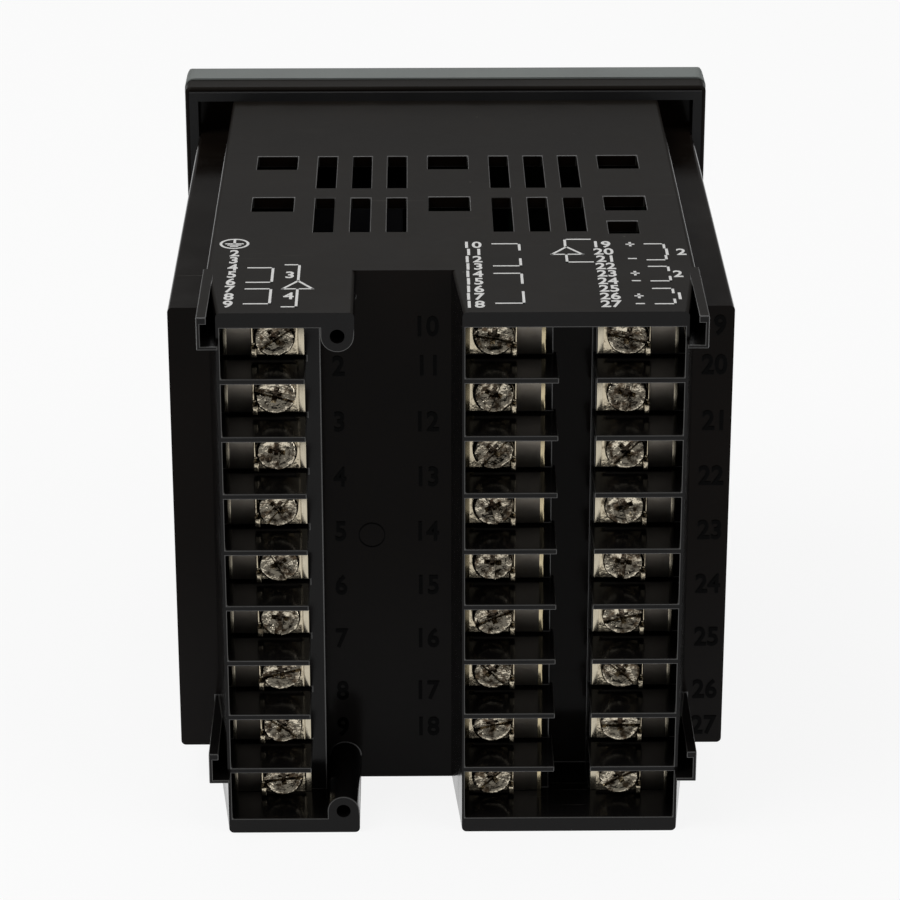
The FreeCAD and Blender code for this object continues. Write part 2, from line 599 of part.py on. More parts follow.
def make_display_board():
    """The board behind the front, with its displays, indicators, switches and screws."""
    rear = "-board_front + board_thick"
    slab = block("display_board_slab", ("-board_half", "board_half"), ("-board_front", rear),
                 ("-board_low", "board_top"))
    holes = [rod(f"board_hole_{number}", both("post_across", across), ("-board_front - 1", "0"),
                 both("post_up", up), "small_screw + screw_play")
             for number, (across, up) in enumerate(CORNERS)]
    node(cut("display_board_body", slab, holes), "display_board")
    deep = ("-board_front - display_deep", "-board_front")
    for word in ("upper", "lower"):
        node(block(f"{word}_display_body", ("-display_half", "display_half"), deep,
                   (f"{word}_low", f"{word}_top")), f"{word}_display")
    lights = [rod(f"led_{'left' if across else 'right'}_{number}", both("led_across", across), deep,
                  f"led_low + {number} * led_pitch", "led_radius")
              for across in (True, False) for number in range(4)]
    node(group("leds", lights), "indicator_leds")
    touch = "-bezel_front + front_wall + 2 * key_seat + key_flange + key_travel"
    switches = [block(name + "_switch", around(across, "switch_half"), (touch, "-board_front"),
                      around(height, "switch_half"))
                for name, across, height in key_places()]
    node(group("switches", switches), "key_switches")
    screws = []
    for number, (across, up) in enumerate(CORNERS):
        where = (both("post_across", across), both("post_up", up))
        head = rod(f"board_screw_head_{number}", where[0], (rear, f"{rear} + small_head_high"), where[1],
                   "small_head")
        shank = rod(f"board_screw_shank_{number}", where[0], ("-board_front - small_screw_long + 0.5", rear),
                    where[1], "small_screw")
        screws.append(fuse(f"board_screw_{number}", [head, shank]))
    node(group("board_screw_set", screws), "board_screws")


# ---------------------------------------------------------------- boards inside the case

BOARDS = {"power": "power_across", "output": "output_across", "input": "input_across"}


def make_boards():
    """Three upright boards, the headers at their front and the sockets at their rear."""
    headers, sockets = [], []
    for word, across in BOARDS.items():
        thick = around(across, "board_thick / 2")
        node(block(f"{word}_board_slab", thick, ("inner_front", "inner_rear"), ("-inner_half", "inner_half")),
             f"{word}_board")
        slot_x = around(across, "board_thick / 2 + board_play")
        through = ("-body_half", "body_half")
        header = block(f"{word}_header_block", around(across, "header_half"),
                       ("-board_front + board_thick", "header_rear"), ("-header_tall", "header_tall"))
        headers.append(cut(f"{word}_header", header,
                           [block(f"{word}_header_slot", slot_x, ("inner_front", "header_rear + 1"), through)]))
        rear = "plate_rear - rear_wall"
        socket = block(f"{word}_socket_block", around(across, "socket_half"), (f"{rear} - socket_deep", rear),
                       ("-socket_tall", "socket_tall"))
        slot_y = (f"{rear} - socket_deep - 1", "inner_rear")
        sockets.append(cut(f"{word}_socket", socket, [block(f"{word}_socket_slot", slot_x, slot_y, through)]))
    node(group("headers", headers), "board_headers")
    node(group("sockets", sockets), "edge_connectors")


CAN_PLACES = [(0, 0), (1, 0), (0, 1)]     # steps to the rear and down from the first can


def make_components():
    """What the boards carry: transformer, relays and capacitors for power, chips for measuring."""
    face = "power_across - board_thick / 2"
    core = block("transformer_core", (f"{face} - core_deep", face), ("core_front", "core_rear"),
                 ("core_low", "core_top"))
    coil = block("transformer_coil", (f"{face} - core_deep + coil_inset", f"{face} - coil_inset"),
                 ("core_front - coil_proud", "core_rear + coil_proud"),
                 ("core_low + coil_proud", "core_top - coil_proud"))
    node(fuse("transformer_body", [core, coil]), "transformer")
    relays = [block(f"relay_{number}", (f"{face} - relay_deep", face), ("relay_front", "relay_rear"),
                    (f"relay_low + {number} * relay_pitch", f"relay_low + relay_tall + {number} * relay_pitch"))
              for number in range(3)]
    node(group("relay_set", relays), "relays")
    cans = []
    for number, (rearward, down) in enumerate(CAN_PLACES):
        can = DOC.addObject("Part::Cylinder", f"can_{number}")
        bind(can, "Radius", "can_radius")
        bind(can, "Height", "can_long")
        can.Placement.Rotation = FreeCAD.Rotation(FreeCAD.Vector(0, 1, 0), -90)
        bind(can, "Placement.Base.x", face)
        bind(can, "Placement.Base.y", f"can_start + {rearward} * can_pitch")
        bind(can, "Placement.Base.z", f"can_top - {down} * can_pitch")
        cans.append(can)
    node(group("can_set", cans), "capacitors")
    chip_face = "input_across + board_thick / 2"
    thick = (chip_face, f"{chip_face} + chip_thick")
    chips = [block("chip_large", thick, ("chip_start", "chip_start + chip_wide"),
                   ("chip_low", "chip_low + chip_wide"))]
    for number in range(2):
        low = f"small_chip_low + {number} * small_chip_pitch"
        chips.append(block(f"chip_small_{number}", thick,
                           ("small_chip_start", "small_chip_start + small_chip_wide"),
                           (low, f"{low} + small_chip_high")))
    node(group("chip_set", chips), "processor_chips")


# ---------------------------------------------------------------- build and write

def check_document():
    """Stop if any object failed, or any sub-part is empty or not valid."""
    faults = [f"{item.Name}: {item.State}" for item in DOC.Objects if {"Invalid", "Error"} & set(item.State)]
    for label, item in NODES:
        if item.Shape.isNull() or not item.Shape.isValid() or not item.Shape.Solids:
            faults.append(f"{label}: bad shape")
    if faults:
        raise SystemExit("\n".join(faults))


make_case()
make_seals()
make_bezel()
make_window()
make_keys()
make_chassis_screw()
make_display_board()
make_boards()
make_components()
for column in SCREW_COLUMNS:
    make_tags(column)
    make_clamps(column)
    make_screws(column)
DOC.recompute()
check_document()

os.makedirs("parts", exist_ok=True)
for label, item in NODES:
    item.Shape.exportStep(f"parts/{label}.step")
    box = item.Shape.BoundBox
    print(f"{label:26s} solids {len(item.Shape.Solids):3d} volume {item.Shape.Volume:10.1f}"
          f"  y {box.YMin:7.2f} {box.YMax:7.2f}")
print(len(NODES), "nodes")
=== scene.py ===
"""Dresses the panel temperature controller: a black moulded case with three columns of screw terminals.

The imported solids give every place. Metres, +Z up, +Y towards the terminals, the display faces -Y.
"""
from __future__ import annotations

import logging
import math
import random
from collections.abc import Callable, Sequence
from dataclasses import dataclass
from enum import Enum
from typing import Union

import bmesh
import bpy
from mathutils import Matrix, Vector


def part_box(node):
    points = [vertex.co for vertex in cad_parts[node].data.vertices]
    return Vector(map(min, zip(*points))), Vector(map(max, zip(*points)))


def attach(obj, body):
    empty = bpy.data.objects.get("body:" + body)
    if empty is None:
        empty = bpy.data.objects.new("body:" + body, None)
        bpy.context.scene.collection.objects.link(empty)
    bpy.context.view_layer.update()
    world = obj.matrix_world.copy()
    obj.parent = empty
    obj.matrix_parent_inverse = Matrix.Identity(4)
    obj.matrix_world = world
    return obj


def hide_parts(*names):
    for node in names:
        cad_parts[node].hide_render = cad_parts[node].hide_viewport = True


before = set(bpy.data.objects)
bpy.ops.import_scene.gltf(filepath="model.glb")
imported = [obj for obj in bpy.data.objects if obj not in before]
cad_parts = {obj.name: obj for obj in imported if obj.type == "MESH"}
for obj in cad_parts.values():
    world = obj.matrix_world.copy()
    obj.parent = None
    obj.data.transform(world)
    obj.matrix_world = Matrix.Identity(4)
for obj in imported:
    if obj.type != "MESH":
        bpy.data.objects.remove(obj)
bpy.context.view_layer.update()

LOG = logging.getLogger("controller")
MM = 0.001
ROWS = 9                      # terminals in a column
RNG_SEED = 11
HOUSING = "controller"        # the body that everything but the keys belongs to
PANEL_START = 50.0 * MM       # Y from which the top of the case is one flat panel

Value = Union[float, "Wire"]
Colour = tuple[float, float, float]
Place = tuple[float, float, float]
Path = tuple[tuple[float, float], ...]


# ---------------------------------------------------------------- shader helpers

class Wire:
    """An output socket that answers to arithmetic."""

    def __init__(self, graph: "Graph", socket: bpy.types.NodeSocket) -> None:
        """Wrap one output socket of a graph."""
        self.graph = graph
        self.socket = socket

    def _math(self, operation: str, first: Value, second: Value = 0.0) -> "Wire":
        """Add a Math node."""
        return self.graph.node("Math", {"operation": operation}, {0: first, 1: second})

    def __add__(self, other: Value) -> "Wire":
        """Sum of two values."""
        return self._math("ADD", self, other)

    __radd__ = __add__

    def __mul__(self, other: Value) -> "Wire":
        """Product of two values."""
        return self._math("MULTIPLY", self, other)

    __rmul__ = __mul__

    def __sub__(self, other: Value) -> "Wire":
        """This value less the other."""
        return self._math("SUBTRACT", self, other)

    def __rsub__(self, other: Value) -> "Wire":
        """The other value less this."""
        return self._math("SUBTRACT", other, self)

    def lower(self, other: Value) -> "Wire":
        """The smaller of two values."""
        return self._math("MINIMUM", self, other)


class Graph:
    """The node tree of one material."""

    def __init__(self, name: str) -> None:
        """Start an empty tree.

        Args:
            name: The material's name.
        """
        self.material = bpy.data.materials.new(name)
        self.material.use_nodes = True
        self.tree = self.material.node_tree
        self.tree.nodes.clear()

    def node(self, kind: str, settings: dict | None = None, inputs: dict | None = None,
             output: int | str = 0) -> Wire:
        """Add one node.

        Args:
            kind: The node's type without its ShaderNode prefix.
            settings: Properties, which are set first.
            inputs: Values or wires by socket name or number.
            output: Which output to hand back.

        Returns:
            The chosen output.
        """
        made = self.tree.nodes.new("ShaderNode" + kind)
        for key, value in (settings or {}).items():
            setattr(made, key, value)
        for key, value in (inputs or {}).items():
            socket = made.inputs[key]
            if isinstance(value, Wire):
                self.tree.links.new(value.socket, socket)
            else:
                socket.default_value = (*value, 1.0) if socket.type == "RGBA" and len(value) == 3 else value
        return Wire(self, made.outputs[output])

    def place(self, stretch: Sequence[float] = (1, 1, 1), turn: Sequence[float] = (0, 0, 0)) -> Wire:
        """Object coordinates, stretched and turned."""
        spot = self.node("TexCoord", output="Object")
        return self.node("Mapping", None, {"Vector": spot, "Scale": tuple(stretch), "Rotation": tuple(turn)})

    def axis(self, number: int) -> Wire:
        """One coordinate of the surface point, in metres."""
        return self.node("SeparateXYZ", None, {0: self.node("TexCoord", output="Object")}, number)

    def facing(self, number: int) -> Wire:
        """One component of the surface normal."""
        return self.node("SeparateXYZ", None, {0: self.node("NewGeometry", output="Normal")}, number)

    def noise(self, scale: float, detail: float = 3.0, rough: float = 0.55, where: Wire | None = None) -> Wire:
        """Fractal noise from 0 to 1, with scale in features per metre."""
        return self.node("TexNoise", None, {"Vector": where or self.place(), "Scale": scale, "Detail": detail,
                                            "Roughness": rough})

    def step(self, value: Wire, low: float, high: float, from_low: float = 0.0, from_high: float = 1.0) -> Wire:
        """Smooth change of a value between two limits.

        Args:
            value: What is read.
            low: Where the change starts.
            high: Where the change ends.
            from_low: Result up to low.
            from_high: Result from high on.

        Returns:
            The changed value.
        """
        return self.node("MapRange", {"interpolation_type": "SMOOTHSTEP", "clamp": True},
                         {"Value": value, "From Min": low, "From Max": high, "To Min": from_low,
                          "To Max": from_high})

    def blend(self, amount: Value, first: Colour | Wire, second: Colour | Wire) -> Wire:
        """Mix two colours."""
        return self.node("Mix", {"data_type": "RGBA"}, {0: amount, 6: first, 7: second}, 2)

    def mottle(self, cloud: Wire, colour: Colour, dark: float, light: float = 1.0) -> Wire:
        """A colour that wavers between two shares of itself."""
        return self.blend(self.step(cloud, 0.3, 0.7), tuple(c * dark for c in colour),
                          tuple(c * light for c in colour))

    def bump(self, height: Wire, depth: float, under: Wire | None = None) -> Wire:
        """Normals from a height field.

        Args:
            height: The field, 0 to 1.
            depth: Its depth in metres.
            under: Normals to add to.

        Returns:
            The new normals.
        """
        inputs: dict = {"Height": height, "Distance": depth, "Strength": 1.0}
        if under is not None:
            inputs["Normal"] = under
        return self.node("Bump", None, inputs)

    def close(self, shader: Wire) -> bpy.types.Material:
        """Join a shader to the output.

        Args:
            shader: The last shader.

        Returns:
            The material.
        """
        output = self.tree.nodes.new("ShaderNodeOutputMaterial")
        self.tree.links.new(shader.socket, output.inputs["Surface"])
        return self.material

    def finish(self, inputs: dict) -> bpy.types.Material:
        """Close the tree with a Principled shader.

        Args:
            inputs: Its sockets.

        Returns:
            The material.
        """
        return self.close(self.node("BsdfPrincipled", None, inputs))


# ---------------------------------------------------------------- finishes

@dataclass(frozen=True)
class CasePlastic:
    """Black flame-proof moulding: satin outside, polished where the terminals sit."""

    name: str
    colour: Colour = (0.0052, 0.0034, 0.0024)
    roughness: float = 0.11
    reflect: float = 0.055
    grain: float = 0.000004
    dust: float = 0.12
    # painted reflection: how much lighter the walls are made towards the bottom, standing in for the floor they
    # reflect
    low_painted_reflection: float = 0.0
    painted_reflection_range: tuple[float, float] = (-0.034, 0.004)
    dust_colour: Colour = (0.045, 0.041, 0.034)
    painted_reflection_colour: Colour = (0.03, 0.029, 0.029)
    scuff_colour: Colour = (0.09, 0.085, 0.075)
    speck_colour: Colour = (0.2, 0.19, 0.16)

    def make(self) -> bpy.types.Material:
        """Build the material."""
        graph = Graph(self.name)
        cloud = graph.noise(28.0, 4.0)
        fine = graph.noise(2600.0, 2.0)
        up = graph.step(graph.facing(2), 0.5, 0.95)
        haze = graph.noise(75.0, 5.0, 0.65)
        lines = graph.noise(900.0, 2.0, 0.5, graph.place((0.05, 1.6, 1.0), (0, 0, 0.5)))
        scuff = graph.step(lines, 0.68, 0.74) * graph.step(graph.noise(40.0, 2.0), 0.48, 0.62)
        dots = graph.node("TexVoronoi", None, {"Vector": graph.place(), "Scale": 260.0})
        speck = graph.step(dots, 0.0, 0.07, 1.0, 0.0) * graph.step(graph.noise(95.0, 2.0), 0.56, 0.66)
        film = up * (graph.step(haze, 0.35, 0.75) * 0.45 + 0.2) * self.dust
        tone = graph.blend(film, graph.mottle(cloud, self.colour, 0.8, 1.2), self.dust_colour)
        # Painted reflection: a lighter colour on the lower walls stands in for the pale floor that they
        # reflect, mottled by the haze noise.
        if self.low_painted_reflection:
            low = graph.step(graph.axis(2), *self.painted_reflection_range, self.low_painted_reflection, 0.0)
            tone = graph.blend(low * (graph.step(haze, 0.2, 0.8) * 0.3 + 0.85), tone, self.painted_reflection_colour)
        tone = graph.blend(scuff * 0.35 * up, tone, self.scuff_colour)
        tone = graph.blend(speck * 0.5 * up, tone, self.speck_colour)
        rough = graph.step(haze, 0.25, 0.8, self.roughness - 0.04, self.roughness + 0.08) + scuff * 0.08
        return graph.finish({"Base Color": tone, "Roughness": rough, "Specular IOR Level": self.reflect,
                             "Normal": graph.bump(fine, self.grain)})


@dataclass(frozen=True)
class TexturedPlastic:
    """Plain moulded plastic or rubber with a fine texture."""

    name: str
    colour: Colour
    roughness: float = 0.5
    reflect: float = 0.4
    grain: float = 0.00001
    grain_scale: float = 3200.0

    def make(self) -> bpy.types.Material:
        """Build the material."""
        graph = Graph(self.name)
        cloud = graph.noise(45.0, 4.0, 0.6)
        fine = graph.noise(self.grain_scale, 2.0)
        tone = graph.mottle(cloud, self.colour, 0.9, 1.1)
        rough = graph.step(cloud, 0.3, 0.75, self.roughness - 0.05, self.roughness + 0.07)
        return graph.finish({"Base Color": tone, "Roughness": rough, "Specular IOR Level": self.reflect,
                             "Normal": graph.bump(fine, self.grain)})


@dataclass(frozen=True)
class PlatedMetal:
    """Nickel-plated steel or brass with tarnish, faint brushing and dents.

    Lean tips the surface as seen by light, as a slope along Z: pressed plates are never quite flat. Painted
    shade darkens the colour at the bottom of a recess and ends over the deep range of Y.
    """

    name: str
    colour: Colour = (0.72, 0.69, 0.62)
    tarnish: Colour = (0.34, 0.25, 0.14)
    roughness: float = 0.2
    brush: Sequence[float] = (1.0, 1.0, 0.12)
    dent: float = 0.00003
    dent_scale: float = 420.0
    stain: float = 0.5
    stain_from: float = 0.58
    lean: float = 0.0
    deep: tuple[float, float] | None = None
    recess_shade_colour: Colour = (0.055, 0.036, 0.024)

    def make(self) -> bpy.types.Material:
        """Build the material."""
        graph = Graph(self.name)
        cloud = graph.noise(self.dent_scale, 3.0, 0.6)
        lines = graph.noise(5200.0, 2.0, 0.5, graph.place(self.brush))
        spots = graph.step(graph.noise(700.0, 4.0, 0.65), self.stain_from, self.stain_from + 0.2) * self.stain
        tone = graph.blend(spots, graph.mottle(cloud, self.colour, 0.88), self.tarnish)
        # Painted shade: the colour darkens towards the bottom of a recess, below the deep range of Y.
        if self.deep:
            tone = graph.blend(graph.step(graph.axis(1), *self.deep), self.recess_shade_colour, tone)
        rough = graph.step(lines, 0.3, 0.7, self.roughness - 0.04, self.roughness + 0.05) + spots * 0.2
        normal = graph.bump(lines, 0.000001, graph.bump(cloud, self.dent))
        if self.lean:
            normal = graph.bump(graph.axis(2) * self.lean, 1.0, normal)
        return graph.finish({"Base Color": tone, "Metallic": 1.0, "Roughness": rough, "Normal": normal})


@dataclass(frozen=True)
class PrintInk:
    """Screen-printed ink with a slightly worn, uneven coat."""

    name: str
    colour: Colour
    worn: Colour = (0.2, 0.19, 0.17)

    def make(self) -> bpy.types.Material:
        """Build the material."""
        graph = Graph(self.name)
        thin = graph.step(graph.noise(1500.0, 4.0, 0.7), 0.6, 0.85)
        tone = graph.blend(thin * 0.55, self.colour, self.worn)
        return graph.finish({"Base Color": tone, "Roughness": graph.step(thin, 0.0, 1.0, 0.5, 0.7),
                             "Specular IOR Level": 0.2, "Normal": graph.bump(thin, 0.000004)})


@dataclass(frozen=True)
class TintedLens:
    """Dark polished plastic over the displays."""

    name: str
    colour: Colour = (0.014, 0.005, 0.005)
    smeared: Colour = (0.03, 0.02, 0.018)

    def make(self) -> bpy.types.Material:
        """Build the material."""
        graph = Graph(self.name)
        smear = graph.step(graph.noise(60.0, 5.0, 0.7), 0.45, 0.8)
        wave = graph.noise(35.0, 1.0)
        tone = graph.blend(smear * 0.3, self.colour, self.smeared)
        return graph.finish({"Base Color": tone, "Roughness": graph.step(smear, 0.0, 1.0, 0.06, 0.22),
                             "Specular IOR Level": 0.5, "Normal": graph.bump(wave, 0.00002)})


@dataclass(frozen=True)
class Laminate:
    """Circuit board: solder mask over copper tracks."""

    name: str
    mask: Colour = (0.003, 0.011, 0.005)
    track: Colour = (0.005, 0.018, 0.008)
    shade: Colour = (0.002, 0.006, 0.003)

    def make(self) -> bpy.types.Material:
        """Build the material."""
        graph = Graph(self.name)
        runs = graph.node("TexBrick", {"offset": 0.5, "squash": 1.0},
                          {"Vector": graph.place((1, 1, 1), (0, math.pi / 2, 0)), "Scale": 160.0,
                           "Color1": (0, 0, 0), "Color2": (1, 1, 1), "Mortar": (1, 1, 1), "Mortar Size": 0.04},
                          output="Fac")
        tone = graph.blend(runs, self.mask, self.track)
        tone = graph.blend(graph.step(graph.noise(120.0, 3.0), 0.4, 0.7) * 0.25, tone, self.shade)
        return graph.finish({"Base Color": tone, "Roughness": graph.step(runs, 0.0, 1.0, 0.3, 0.42),
                             "Normal": graph.bump(runs, 0.00003)})


class Look(Enum):
    """Finishes by the name of the record's material slot."""

    # the case's lower walls carry a painted reflection of the floor
    CASE = ("case_plastic", CasePlastic("satin_case", low_painted_reflection=0.3))
    MARK = ("case_plastic", CasePlastic("polished_mark", (0.0016, 0.0015, 0.0015), roughness=0.1, reflect=0.03,
                                        grain=0.000002, dust=0.0))
    CELLS = ("case_plastic", CasePlastic("polished_cells", (0.0042, 0.0038, 0.0038), roughness=0.15,
                                         reflect=0.16, grain=0.000003, dust=0.05))
    TOP = ("case_plastic", CasePlastic("satin_top", (0.0085, 0.007, 0.0057), roughness=0.36, reflect=0.04,
                                       dust=0.18))
    # Painted highlight: the eased edges get a lighter colour than the case, standing in for the bright lines
    # that they catch.
    EDGE = ("case_plastic", CasePlastic("painted_highlight_edge", (0.026, 0.025, 0.023), roughness=0.3, reflect=0.9,
                                        grain=0.000002, dust=0.0))
    SEAL = ("seal_rubber", TexturedPlastic("soft_seal", (0.011, 0.011, 0.0115), 0.6, 0.25))
    BEZEL = ("bezel_plastic", TexturedPlastic("grey_bezel", (0.165, 0.18, 0.172), 0.55, 0.3, grain=0.000016,
                                              grain_scale=2600.0))
    CAP = ("cap_plastic", TexturedPlastic("grey_cap", (0.14, 0.152, 0.146), 0.5, 0.3))
    LENS = ("window_plastic", TintedLens("tinted_lens"))
    KEY = ("key_rubber", TexturedPlastic("soft_key", (0.3, 0.31, 0.3), 0.7, 0.25, grain=0.00002,
                                         grain_scale=2000.0))
    # One nickel plating in several colours: the flat is made darker as a painted dark reflection, the strips
    # lighter as a painted highlight.
    PLATE = ("terminal_nickel", PlatedMetal("plate_flat_painted_dark", (0.4, 0.36, 0.31), roughness=0.42, dent=0.000008,
                                            brush=(1, 1, 1), stain=0.3, lean=0.12))
    STRIP = ("terminal_nickel", PlatedMetal("plate_strip_painted_bright", (0.58, 0.52, 0.4), roughness=0.2, dent=0.00001,
                                            stain=0.15, lean=-0.18))
    STRIP_WARM = ("terminal_nickel", PlatedMetal("warm_strip_painted_bright", (0.58, 0.49, 0.31), roughness=0.2, dent=0.00001,
                                                 stain=0.25, lean=-0.18))
    CLAMP = ("clamp_steel", PlatedMetal("dented_clamp", (0.58, 0.51, 0.38), (0.08, 0.055, 0.03), 0.15,
                                        dent=0.00009, dent_scale=600.0, stain=0.8, stain_from=0.5, lean=-0.1))
    # the screws' deep range paints shade into the heads' slot and cross and towards the plate
    SCREW = ("screw_steel", PlatedMetal("nickel_screw", (0.68, 0.61, 0.48), (0.07, 0.045, 0.025), 0.11,
                                        brush=(1, 1, 1), dent=0.0005, dent_scale=480.0, stain=0.95,
                                        stain_from=0.42, lean=-0.32, deep=(0.1002, 0.1014)))
    FASTENER = ("screw_steel", PlatedMetal("small_screw", (0.66, 0.63, 0.58), roughness=0.2, brush=(1, 1, 1)))
    INK = ("case_plastic", PrintInk("white_ink", (0.72, 0.715, 0.7)))
    LEGEND = ("key_rubber", PrintInk("dark_ink", (0.03, 0.03, 0.03), (0.1, 0.1, 0.1)))
    SEGMENT = ("window_plastic", TexturedPlastic("unlit_segment", (0.06, 0.016, 0.013), 0.3, 0.4))
    BOARD = ("board_laminate", Laminate("green_board"))
    DISPLAY = ("display_plastic", TexturedPlastic("dull_display", (0.06, 0.06, 0.06), 0.45))
    LED = ("led_plastic", TexturedPlastic("tinted_lamp", (0.42, 0.05, 0.03), 0.25, 0.5))
    SWITCH = ("switch_plastic", TexturedPlastic("black_switch", (0.025, 0.025, 0.025), 0.45))
    CONNECTOR = ("connector_plastic", TexturedPlastic("cream_connector", (0.5, 0.47, 0.39), 0.5))
    TRANSFORMER = ("transformer_steel", PlatedMetal("laminated_steel", (0.3, 0.29, 0.27), roughness=0.45,
                                                    brush=(1, 0.1, 1)))
    RELAY = ("relay_plastic", TexturedPlastic("dark_relay", (0.03, 0.03, 0.034), 0.3))
    CAN = ("can_aluminium", PlatedMetal("sleeved_can", (0.5, 0.5, 0.52), roughness=0.35, stain=0.1))
    CHIP = ("chip_plastic", TexturedPlastic("dull_chip", (0.018, 0.018, 0.018), 0.6))

    @property
    def slot(self) -> str:
        """The record's material slot."""
        return self.value[0]

    def material(self) -> bpy.types.Material:
        """The finish's material, made on first use."""
        recipe = self.value[1]
        return bpy.data.materials.get(recipe.name) or recipe.make()


# ---------------------------------------------------------------- mesh helpers

def select(*items: bpy.types.Object) -> None:
    """Select only these objects and make the first one active."""
    if bpy.context.mode != "OBJECT":
        bpy.ops.object.mode_set(mode="OBJECT")
    bpy.ops.object.select_all(action="DESELECT")
    for item in items:
        item.select_set(True)
    bpy.context.view_layer.objects.active = items[0]


def settle(item: bpy.types.Object) -> bpy.types.Object:
    """Move an object's place, turn and size into its mesh."""
    select(item)
    bpy.ops.object.transform_apply(location=True, rotation=True, scale=True)
    return item


def modify(item: bpy.types.Object, kind: str, **settings: object) -> None:
    """Add a modifier and apply it.

    Args:
        item: The piece.
        kind: The modifier's type.
        settings: Its properties.
    """
    select(item)
    added = item.modifiers.new(kind.lower(), kind)
    for key, value in settings.items():
        setattr(added, key, value)
    bpy.ops.object.modifier_apply(modifier=added.name)


def edit(item: bpy.types.Object, pick: Callable[[object], bool], what: str = "faces") -> None:
    """Enter edit mode with only the chosen elements selected.

    Args:
        item: The piece.
        pick: A test for one face, edge or vertex.
        what: "faces", "edges" or "verts".
    """
    select(item)
    bpy.ops.object.mode_set(mode="EDIT")
    bpy.ops.mesh.select_mode(type={"faces": "FACE", "edges": "EDGE", "verts": "VERT"}[what])
    bpy.ops.mesh.select_all(action="DESELECT")
    shape = bmesh.from_edit_mesh(item.data)
    for element in getattr(shape, what):
        element.select_set(bool(pick(element)))
    shape.select_flush_mode()
    bmesh.update_edit_mesh(item.data)


def leave() -> None:
    """Go back to object mode."""
    bpy.ops.object.mode_set(mode="OBJECT")


def cube(name: str, low: Sequence[float], high: Sequence[float]) -> bpy.types.Object:
    """A box between two corners, in metres."""
    low, high = Vector(low), Vector(high)
    bpy.ops.mesh.primitive_cube_add(size=1, location=(low + high) / 2)
    item = bpy.context.object
    item.name, item.scale = name, high - low
    return settle(item)


def drum(name: str, middle: float, radius: float, depth: float, sides: int) -> bpy.types.Object:
    """A cylinder on the Y axis about one place on it, in metres."""
    turn = Vector((0, 1, 0)).to_track_quat("Z", "X").to_euler()
    bpy.ops.mesh.primitive_cylinder_add(vertices=sides, radius=radius, depth=depth, location=(0, middle, 0),
                                        rotation=turn)
    bpy.context.object.name = name
    return settle(bpy.context.object)


def join(name: str, items: Sequence[bpy.types.Object]) -> bpy.types.Object:
    """One object from several."""
    select(*items)
    bpy.ops.object.join()
    items[0].name = name
    items[0].data.name = name
    return items[0]


def clone(item: bpy.types.Object, matrix: Matrix) -> bpy.types.Object:
    """A copy with its own mesh, moved by a matrix."""
    made = item.copy()
    made.data = item.data.copy()
    made.data.transform(matrix)
    bpy.context.scene.collection.objects.link(made)
    return made


def drop(item: bpy.types.Object) -> None:
    """Delete an object and its mesh."""
    mesh = item.data
    bpy.data.objects.remove(item)
    bpy.data.meshes.remove(mesh)


def smooth(item: bpy.types.Object, degrees: float) -> None:
    """Smooth shading up to an angle."""
    select(item)
    bpy.ops.object.shade_smooth_by_angle(angle=math.radians(degrees), keep_sharp_edges=False)


def dress(item: bpy.types.Object, look: Look, *nodes: str, body: str = HOUSING) -> bpy.types.Object:
    """Give a piece its finish and its body.

    Args:
        item: The piece.
        look: Its finish.
        nodes: CAD nodes that it stands for.
        body: The body that it rides on.

    Returns:
        The piece.
    """
    item.data.materials.clear()
    item.data.materials.append(look.material())
    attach(item, body)
    if nodes:
        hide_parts(*nodes)
    return item


def redress(look: Look, *nodes: str) -> None:
    """Give CAD nodes a finish and leave their meshes alone."""
    for name in nodes:
        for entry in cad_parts[name].material_slots:
            entry.material = look.material()


def ease(item: bpy.types.Object, width: float, degrees: float) -> None:
    """Round every edge that is sharper than an angle."""
    modify(item, "BEVEL", width=width, segments=2, limit_method="ANGLE", angle_limit=math.radians(degrees))


def eased_copy(node: str, width: float, start: float = -1.0) -> bpy.types.Object:
    """A copy of a CAD node whose sharp edges are eased, but for those that meet a very short one.

    Args:
        node: The CAD node.
        width: How far each edge is cut back, in metres.
        start: Y from which on edges are eased.

    Returns:
        The copy, one closed mesh. Its eased edges are in its second material slot.
    """
    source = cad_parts[node]
    item = bpy.data.objects.new(node + "_eased", source.data.copy())
    bpy.context.scene.collection.objects.link(item)
    edit(item, lambda vert: True, "verts")
    bpy.ops.mesh.customdata_custom_splitnormals_clear()
    bpy.ops.mesh.remove_doubles(threshold=0.000002)
    bpy.ops.mesh.dissolve_limited(angle_limit=math.radians(0.5))
    leave()
    item.data.materials.append(None)

    def crisp(edge: bmesh.types.BMEdge) -> bool:
        """Whether an edge is sharp and has room to be eased."""
        around = (other.calc_length() for vert in edge.verts for other in vert.link_edges)
        return (edge.calc_face_angle(0.0) > math.radians(40) and min(vert.co.y for vert in edge.verts) > start
                and min(around) > 2.5 * width)

    edit(item, crisp, "edges")
    bpy.ops.mesh.bevel(offset=width, segments=2, material=1, clamp_overlap=False)
    leave()
    smooth(item, 30.0)
    modify(item, "WEIGHTED_NORMAL", mode="FACE_AREA", weight=100, keep_sharp=True)
    return item


# ---------------------------------------------------------------- lettering

class Side(Enum):
    """Faces of the part that carry lettering, as the turn from flat text to the face."""

    TOP = Matrix(((-1, 0, 0), (0, -1, 0), (0, 0, 1)))
    REAR = Matrix(((-1, 0, 0), (0, 0, 1), (0, 1, 0)))
    FRONT = Matrix(((1, 0, 0), (0, 0, -1), (0, 1, 0)))


